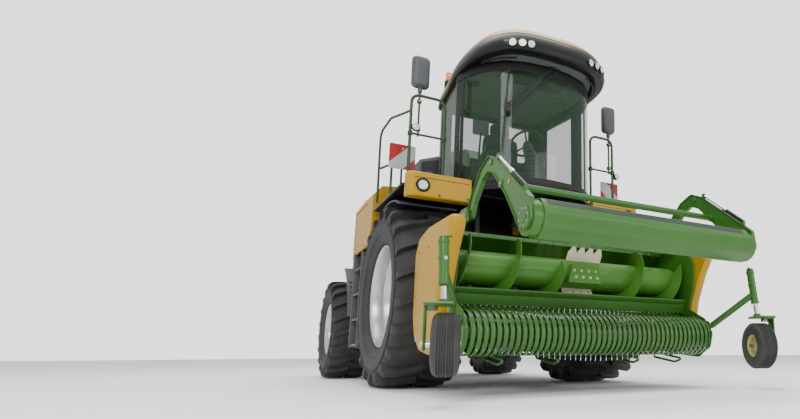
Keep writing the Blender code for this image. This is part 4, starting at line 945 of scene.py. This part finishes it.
paddle(60, -0.09, 0.30, 4, 1)
paddle(150, -0.20, 0.12, 3, 1)
paddle(-65, -0.14, 0.20, 4, 1)
paddle(240, -0.09, 0.30, 4, 1)
for a0 in (-3, 177):
    a = math.radians(a0)
    c, d = math.cos(a), math.sin(a)

    def at(r, y, e):
        return (AX + c * r - d * e, y, AZ + d * r + c * e)
    edge = [(-0.13, -0.085), (0.24, -0.085), (0.20, 0.085), (-0.09, 0.085)]
    aug.use(0).loft([[at(r, y, e) for y, e in edge] for r in (0.130, 0.190, 0.198)])
    for y in (-0.07, 0.01, 0.09, 0.17):
        aug.use(2).bolt(at(0.198, y, 0.03), (c, 0, d), 0.010, 0.008)
        aug.bolt(at(0.198, y + 0.02, -0.03), (c, 0, d), 0.010, 0.008)
aug.done("auger_flights", ["green_light", "cream", "zinc"], "auger", "green_paint", replaces=("auger",), smooth=40)

# bands over the reel
path = [Vector((x, 0, z)) for x, z in [(1.655, 0.7345), (1.70, 0.7150)] + arc(RX, RZ, 0.180, 108, -104, 22) + [(1.66, 0.345), (1.60, 0.3735)]]
sect = [(-0.017, -0.0025), (0.017, -0.0025), (0.018, 0.0), (0.013, 0.0028), (-0.013, 0.0028), (-0.018, 0.0)]
bands = Shape()
for i in range(45):
    y = (i - 22) * PITCH
    bands.sweep([(p.x, y, p.z) for p in path], sect, (0, 1, 0))
    bands.use(1).bolt((1.655, y, 0.7395), (0.1, 0, 1), 0.007, 0.005)
    bands.use(0)
bands.box(1.647, 1.669, -1.239, 1.239, 0.723, 0.736, 0.004).box(1.591, 1.611, -1.239, 1.239, 0.361, 0.377, 0.004)
bands.done("stripper_bands", ["green", "zinc"], "header", "green_paint", replaces=("reel_bands",), smooth=50)

# ------------------------------------------------------------------ crop press
press = Shape()
vert = [(2.70 + 0.155 * math.cos(math.radians(12 + 45 * k)), 1.27 + 0.155 * math.sin(math.radians(12 + 45 * k))) for k in range(8)]
press.soft_prism(rounded(vert, 0.012, 3), "y", -1.028, 1.028, 0.004)
press.cyl((2.30, -1.10, 1.62), (2.30, 1.10, 1.62), 0.029, 24)
ARM = [(1.60, 1.46), (1.60, 1.54), (1.72, 1.70), (1.90, 1.86), (2.06, 1.92), (2.20, 1.86), (2.80, 1.40), (2.82, 1.24),
       (2.74, 1.17), (2.62, 1.22), (2.40, 1.50), (2.16, 1.74), (2.05, 1.79), (1.94, 1.74), (1.78, 1.58), (1.72, 1.46)]
arm_out = rounded(ARM, 0.05, 5)
for _, s in SIDES:
    press.use(0).soft_prism(arm_out, "y", s * 1.098, s * 1.112, 0.002)
    press.sweep([(x, s * 1.105, z) for x, z in arm_out], [(-0.0195, -0.001), (0.0195, -0.001), (0.0195, -0.007), (-0.0195, -0.007)],
                (0, 1, 0), closed=True)
    press.cyl((2.70, s * 1.02, 1.27), (2.70, s * 1.10, 1.27), 0.135, 40, e=0.004)
    press.cyl((2.70, s * 1.110, 1.27), (2.70, s * 1.120, 1.27), 0.088, 32, e=0.003)
    press.cyl((2.70, s * 1.112, 1.27), (2.70, s * 1.1245, 1.27), 0.040, 24, e=0.003)
    for k in range(8):
        a = math.pi * k / 4 + 0.2
        press.use(2).bolt((2.70 + 0.066 * math.cos(a), s * 1.118, 1.27 + 0.066 * math.sin(a)), (0, s, 0), 0.008, 0.005)
    press.use(0)
    for x, z in ((2.30, 1.62), (2.10, 1.85), (1.66, 1.50)):
        press.cyl((x, s * 1.086, z), (x, s * 1.122, z), 0.034 if z < 1.8 else 0.026, 24, e=0.003)
        press.use(2).bolt((x, s * 1.118, z), (0, s, 0), 0.012, 0.005)
        press.use(0)
    # gas strut along the arm
    press.use(1).tube([(2.225, s * 1.105, 1.868), (2.52, s * 1.105, 1.642)], 0.0115, 14)
    press.use(4).tube([(2.49, s * 1.105, 1.664), (2.70, s * 1.105, 1.503)], 0.017, 16)
    press.use(1).tube([(2.47, s * 1.105, 1.680), (2.51, s * 1.105, 1.649)], 0.020, 20)
    press.use(0).box(2.205, 2.245, s * 1.092, s * 1.118, 1.835, 1.885, 0.006).box(2.675, 2.715, s * 1.092, s * 1.118, 1.465, 1.515, 0.006)
    press.use(3).box(2.435, 2.463, s * 1.1125, s * 1.118, 1.585, 1.612, 0.002)
    press.use(0)
# blank dark strip on the upper facet
a = math.radians(34.5)
n0, t0 = Vector((math.cos(a), 0, math.sin(a))), Vector((-math.sin(a), 0, math.cos(a)))
mid = Vector((2.70, 0, 1.27)) + n0 * (0.155 * math.cos(math.radians(22.5)))
rows = []
for y in (-0.985, 0.965):
    rows.append([mid + t0 * q + n0 * h + Vector((0, y, 0)) for q, h in ((0.006, -0.002), (0.054, -0.002), (0.054, 0.0016), (0.006, 0.0016))])
press.use(5).loft(rows)
press.done("press_bar", ["green", "steel", "zinc", "amber", "dark_plastic", "olive"], "crop_press", "green_paint",
           replaces=("crop_press",), smooth=35)

# ------------------------------------------------------------------ guide wheels
GX, GY, GZ, LEAN, YAW = 2.402, 1.55, 0.401, 0.118, -0.35
for name, s in SIDES:
    foot = Vector((GX + 0.03, s * (GY + 0.01), 0.0))

    def post(z):
        return foot + Vector((-LEAN * (z - 0.40), 0, z))
    arm = Shape()
    arm.tube([post(0.802), post(1.138)], 0.036, 24)
    for z in (0.806, 0.98, 1.10):
        arm.cyl(post(z), post(z + 0.022), 0.0405, 24, e=0.003)
    arm.tube(fillet([post(0.90), (2.16, s * 1.42, 0.72), (1.98, s * 1.36, 0.60), (1.98, s * 1.2905, 0.60)], 0.05, 6), 0.031, 16)
    arm.cyl(post(1.138), post(1.152), 0.030, 20, e=0.003)
    arm.tube([post(1.147), post(1.150) + Vector((0.03, -s * 0.05, 0.004))], 0.009, 10)
    arm.use(1).bolt(post(0.99) + Vector((0.038, 0, 0)), (1, 0, 0), 0.010, 0.008)
    arm.use(0).cyl((1.98, s * 1.2905, 0.60), (1.98, s * 1.303, 0.60), 0.055, 24, e=0.003)
    arm.done("guide_bracket_" + name, ["green", "zinc"], "header", "green_paint", replaces=("guide_arm_" + name,), smooth=40)
    fork = Shape()
    cy0 = s * GY
    k = len(fork.v)
    fork.box(GX - 0.10, GX + 0.08, cy0 - s * 0.05, cy0 + s * 0.155, 0.657, 0.683, 0.012)
    fork.box(GX - 0.05, GX + 0.05, cy0 + s * 0.132, cy0 + s * 0.152, 0.36, 0.67, 0.012)
    fork.prism([(GX - 0.045, 0.657), (GX - 0.045, 0.628), (GX - 0.035, 0.628), (GX + 0.045, 0.657)], "y", cy0 + s * 0.06, cy0 + s * 0.134)
    fork.use(1).cyl((GX, cy0 + s * 0.150, GZ), (GX, cy0 - s * 0.10, GZ), 0.0195, 20)
    fork.use(2).bolt((GX, cy0 + s * 0.152, GZ), (0, s, 0), 0.018, 0.014)
    rot = Matrix.Translation(foot) @ Matrix.Rotation(YAW, 4, "Z") @ Matrix.Translation(-foot)
    fork.moved(k, rot)
    fork.use(1).tube([post(0.662), post(0.792)], 0.0215, 24)
    fork.use(0).cyl(post(0.680), post(0.702), 0.036, 24, e=0.003)
    fork.done("guide_yoke_" + name, ["green", "steel", "zinc"], "guide_fork_" + name, "green_paint",
              replaces=("guide_fork_" + name,), smooth=40)
    whl = Shape()
    w, r = 0.098, 0.215
    half = [(0.0, r), (0.38, r - 0.001), (0.62, r - 0.006), (0.80, r - 0.018), (0.93, r - 0.042), (1.0, r - 0.085), (0.97, 0.125), (0.80, 0.112), (0.72, 0.104)]
    prof = [(t * w, q) for t, q in half] + [(-t * w, q) for t, q in reversed(half[1:])]
    # seven circumferential ribs
    ribbed = []
    for t, q in [(-0.60 + 0.04 * i, 0) for i in range(31)]:
        ribbed.append((t * w, r - (0.0075 if (int((t + 0.6) / 0.085 + 0.5) % 2) else 0.0)))
    prof = [(t, q) for t, q in prof if abs(t) > 0.6 * w]
    right = [p for p in prof if p[0] > 0]
    left = [p for p in prof if p[0] < 0]
    whl.turn(list(ribbed) + right + left, (GX, cy0, GZ), 64, side=1)
    whl.use(1).turn([(-0.055, 0.0225), (-0.058, 0.045), (-0.035, 0.06), (-0.030, 0.088), (-0.066, 0.098), (-0.070, 0.107),
                     (0.070, 0.107), (0.066, 0.098), (0.030, 0.088), (0.035, 0.06), (0.058, 0.045), (0.055, 0.0225)],
                    (GX, cy0, GZ), 48, side=1)
    for q in range(5):
        a = 2 * math.pi * q / 5
        for o in (1, -1):
            whl.use(2).bolt((GX + 0.074 * math.cos(a), cy0 + o * 0.031, GZ + 0.074 * math.sin(a)), (0, o, 0), 0.008, 0.008)
    whl.moved(0, rot)
    whl.done("guide_tyre_" + name, ["rubber", "hub_yellow", "zinc"], "guide_wheel_" + name, "tyre_rubber",
             replaces=("guide_wheel_" + name,), smooth=35)

# ------------------------------------------------------------------ body panels
SHELL = [(-0.62, 1.45, 2.42), (-1.62, 1.45, 2.46), (-2.60, 1.27, 2.46), (-3.60, 1.09, 2.42), (-4.14, 0.98, 2.32)]


def half_width(x):
    return table(-x, [(-a, b) for a, b, c in SHELL])[0]


trim = Shape()
for _, s in SIDES:
    # green sweep, louvres and panel gaps on the sides
    rows = []
    for i in range(21):
        x = -1.66 - 2.40 * i / 20
        y = half_width(x)
        rows.append([(x, s * (y - 0.001), 1.80 + 0.10 * i / 20), (x, s * (y - 0.001), 1.90 + 0.08 * i / 20),
                     (x, s * (y + 0.0028), 1.90 + 0.08 * i / 20), (x, s * (y + 0.0028), 1.80 + 0.10 * i / 20)])
    trim.use(1).loft(rows)
    for j in range(9):
        x0, x1 = -2.75 - 0.0 * j, -3.45
        zz = 2.02 + j * 0.018
        trim.use(2).loft([[(x, s * (half_width(x) - 0.002), zz), (x, s * (half_width(x) - 0.002), zz + 0.009),
                           (x, s * (half_width(x) + 0.003), zz + 0.002)] for x in (x0, x1)])
    for x in (-1.66, -2.60, -3.60):
        y = half_width(x)
        trim.use(2).box(x - 0.003, x + 0.003, s * (y - 0.004), s * (y + 0.0012), 1.63, 2.20)
    # latches
    for x, z in ((-1.78, 1.74), (-2.50, 1.74), (-3.50, 1.74)):
        y = half_width(x)
        trim.use(2).cyl((x, s * (y - 0.002), z), (x, s * (y + 0.006), z), 0.018, 20, e=0.002)
    # rear lamp clusters
    trim.use(3).box(-4.150, -4.138, s * 0.84, s * 0.94, 1.74, 1.90, 0.004)
    trim.use(4).box(-4.150, -4.138, s * 0.84, s * 0.94, 1.905, 1.97, 0.004)
# crown grille behind the spout
for i in range(14):
    trim.use(2).box(-2.00 - i * 0.07, -2.035 - i * 0.07, -0.36, 0.36, 2.456, 2.466, 0.003)
trim.done("body_trim", ["yellow", "green", "soft_black", "red", "amber"], "chassis", "green_paint", smooth=40)

for name, s in SIDES:
    cover = Shape()
    x0, x1, zt = -1.572, -0.868, 2.162
    out = rounded([(x0, 1.622), (x1, 1.622), (x1, zt), (x0, zt)], 0.03, 5)
    cover.soft_prism(out, "y", s * 1.4125, s * 1.4475, 0.006)
    cover.use(1).tube(fillet([(x0 + 0.10, s * 1.4445, 1.70), (x1 - 0.10, s * 1.4445, 1.70), (x1 - 0.10, s * 1.4445, 2.08), (x0 + 0.10, s * 1.4445, 2.08)],
                             0.04, 5, closed=True), 0.0035, 6, closed=True)
    for x in (x0 + 0.14, x1 - 0.14):
        cover.cyl((x, s * 1.440, 1.66), (x, s * 1.4495, 1.66), 0.014, 20, e=0.002)
    cover.done("side_panel_" + name, ["yellow", "soft_black"], "side_cover_" + name, "yellow_paint",
               replaces=("side_cover_" + name,), smooth=40)

    lad = Shape()
    for x in (-1.60, -1.15):
        lad.box(x, x + 0.03, s * 1.26, s * 1.44, 0.42, 1.6195, 0.006)
    for z in (0.44, 0.76, 1.08, 1.40):
        lad.box(-1.59, -1.13, s * 1.27, s * 1.43, z, z + 0.022, 0.004)
        for k in range(9):
            for q in range(3):
                lad.use(1).cyl((-1.55 + k * 0.048, s * (1.30 + q * 0.05), z + 0.0215), (-1.55 + k * 0.048, s * (1.30 + q * 0.05), z + 0.029), 0.012, 10)
        lad.use(0)
    lad.done("steps_" + name, ["plastic", "zinc"], "chassis", "grey_plastic", replaces=("ladder_" + name,), smooth=40)

# ------------------------------------------------------------------ spout
SPOUT = [(-1.24, 3.05, 0.126, 0.10), (-1.29, 3.069, 0.128, 0.112), (-1.335, 3.084, 0.129, 0.125), (-1.39, 3.103, 0.172, 0.145), (-1.46, 3.124, 0.198, 0.16), (-2.10, 3.24, 0.19, 0.15),
         (-2.90, 3.25, 0.17, 0.13), (-3.70, 3.15, 0.155, 0.115), (-4.30, 2.98, 0.145, 0.10)]
line = catmull([(x, 0, z) for x, y, z in [(a[0], 0, a[1]) for a in SPOUT]], 8)
sizes = catmull([(a[2], a[3], 0) for a in SPOUT], 8)
spout = Shape()
rings = []
for i, (p, q) in enumerate(zip(line, sizes)):
    a, b = line[max(0, i - 1)], line[min(len(line) - 1, i + 1)]
    d = (b - a).normalized()
    up = Vector((-d.z, 0, d.x))
    up = up if up.z > 0 else -up
    w, h = q.x - 0.004, q.y - 0.004
    prof = fillet([Vector((-w, -h)), Vector((w, -h)), Vector((w, h)), Vector((-w, h))], min(w, h) * 0.35, 5, closed=True)
    rings.append([p + Vector((0, v.x, 0)) + up * v.y for v in prof])
spout.loft(rings)
for i in range(8, len(rings) - 1, 6):
    prof = rings[i]
    c = line[i]
    d = (line[i + 1] - line[i - 1]).normalized()
    spout.loft([[c + (v - c) * k + d * o for v in prof] for o, k in ((-0.010, 0.995), (-0.006, 1.022), (0.006, 1.022), (0.010, 0.995))])
spout.done("spout_duct", ["green"], "spout_arm", "green_paint", replaces=("spout_arm",), smooth=45)
give("body_shell", "yellow")
give("spout_turret", "green")
give("spout_flap", "green_dark")

# ------------------------------------------------------------------ stage
floor = bpy.data.meshes.new("floor")
floor.from_pydata([(-60, -60, 0), (60, -60, 0), (60, 60, 0), (-60, 60, 0)], [], [(0, 1, 2, 3)])
floor = bpy.data.objects.new("floor", floor)
bpy.context.scene.collection.objects.link(floor)
fm = bpy.data.materials.new("floor_finish")
fm.use_nodes = True
fm.node_tree.nodes["Principled BSDF"].inputs["Base Color"].default_value = (0.95, 0.95, 0.95, 1)
fm.node_tree.nodes["Principled BSDF"].inputs["Roughness"].default_value = 0.8
fm.node_tree.nodes["Principled BSDF"].inputs["Specular IOR Level"].default_value = 0.1
floor.data.materials.append(fm)

world = bpy.data.worlds.new("studio")
bpy.context.scene.world = world
world.use_nodes = True
world.node_tree.nodes["Background"].inputs["Color"].default_value = (1.0, 1.0, 1.0, 1)
back = world.node_tree.nodes["Background"]
back.inputs["Strength"].default_value = 1.05
paper = world.node_tree.nodes.new("ShaderNodeBackground")
paper.inputs["Color"].default_value = (1.0, 1.0, 1.0, 1)
paper.inputs["Strength"].default_value = 2.1
seen = world.node_tree.nodes.new("ShaderNodeLightPath")
both = world.node_tree.nodes.new("ShaderNodeMixShader")
world.node_tree.links.new(seen.outputs["Is Camera Ray"], both.inputs["Fac"])
world.node_tree.links.new(back.outputs["Background"], both.inputs[1])
world.node_tree.links.new(paper.outputs["Background"], both.inputs[2])
world.node_tree.links.new(both.outputs["Shader"], world.node_tree.nodes["World Output"].inputs["Surface"])


def area(name, place, target, size, power, colour=(1, 1, 1)):
    lamp = bpy.data.lights.new(name, "AREA")
    lamp.shape, lamp.size, lamp.energy, lamp.color = "SQUARE", size, power, colour
    obj = bpy.data.objects.new(name, lamp)
    obj.location = place
    obj.rotation_euler = (Vector(target) - Vector(place)).to_track_quat("-Z", "Y").to_euler()
    bpy.context.scene.collection.objects.link(obj)


area("key", (10, -6, 7), (0.5, 0, 1.2), 5, 620)
area("top", (0, 0, 12), (0, 0, 0), 9, 1250)
area("fill", (12, 5, 4), (1, 0, 1.5), 5, 260)

cam = bpy.data.cameras.new("camera")
cam.sensor_width, cam.lens = 36.0, 25.228
cam.shift_x, cam.shift_y = -0.21875, 0.044375
cam.clip_end = 200
psi, theta, rho = 0.5571, 0.19146, -0.00613
d = Vector((-math.cos(psi) * math.cos(theta), math.sin(psi) * math.cos(theta), math.sin(theta)))
r = Vector((math.sin(psi), math.cos(psi), 0))
u = r.cross(d)
r2 = r * math.cos(rho) + u * math.sin(rho)
u2 = -r * math.sin(rho) + u * math.cos(rho)
camera = bpy.data.objects.new("camera", cam)
camera.matrix_world = Matrix((
    (r2.x, u2.x, -d.x, 6.1003 + OX), (r2.y, u2.y, -d.y, -2.8157 + OY), (r2.z, u2.z, -d.z, 0.3361), (0, 0, 0, 1)))
bpy.context.scene.collection.objects.link(camera)
bpy.context.scene.camera = camera
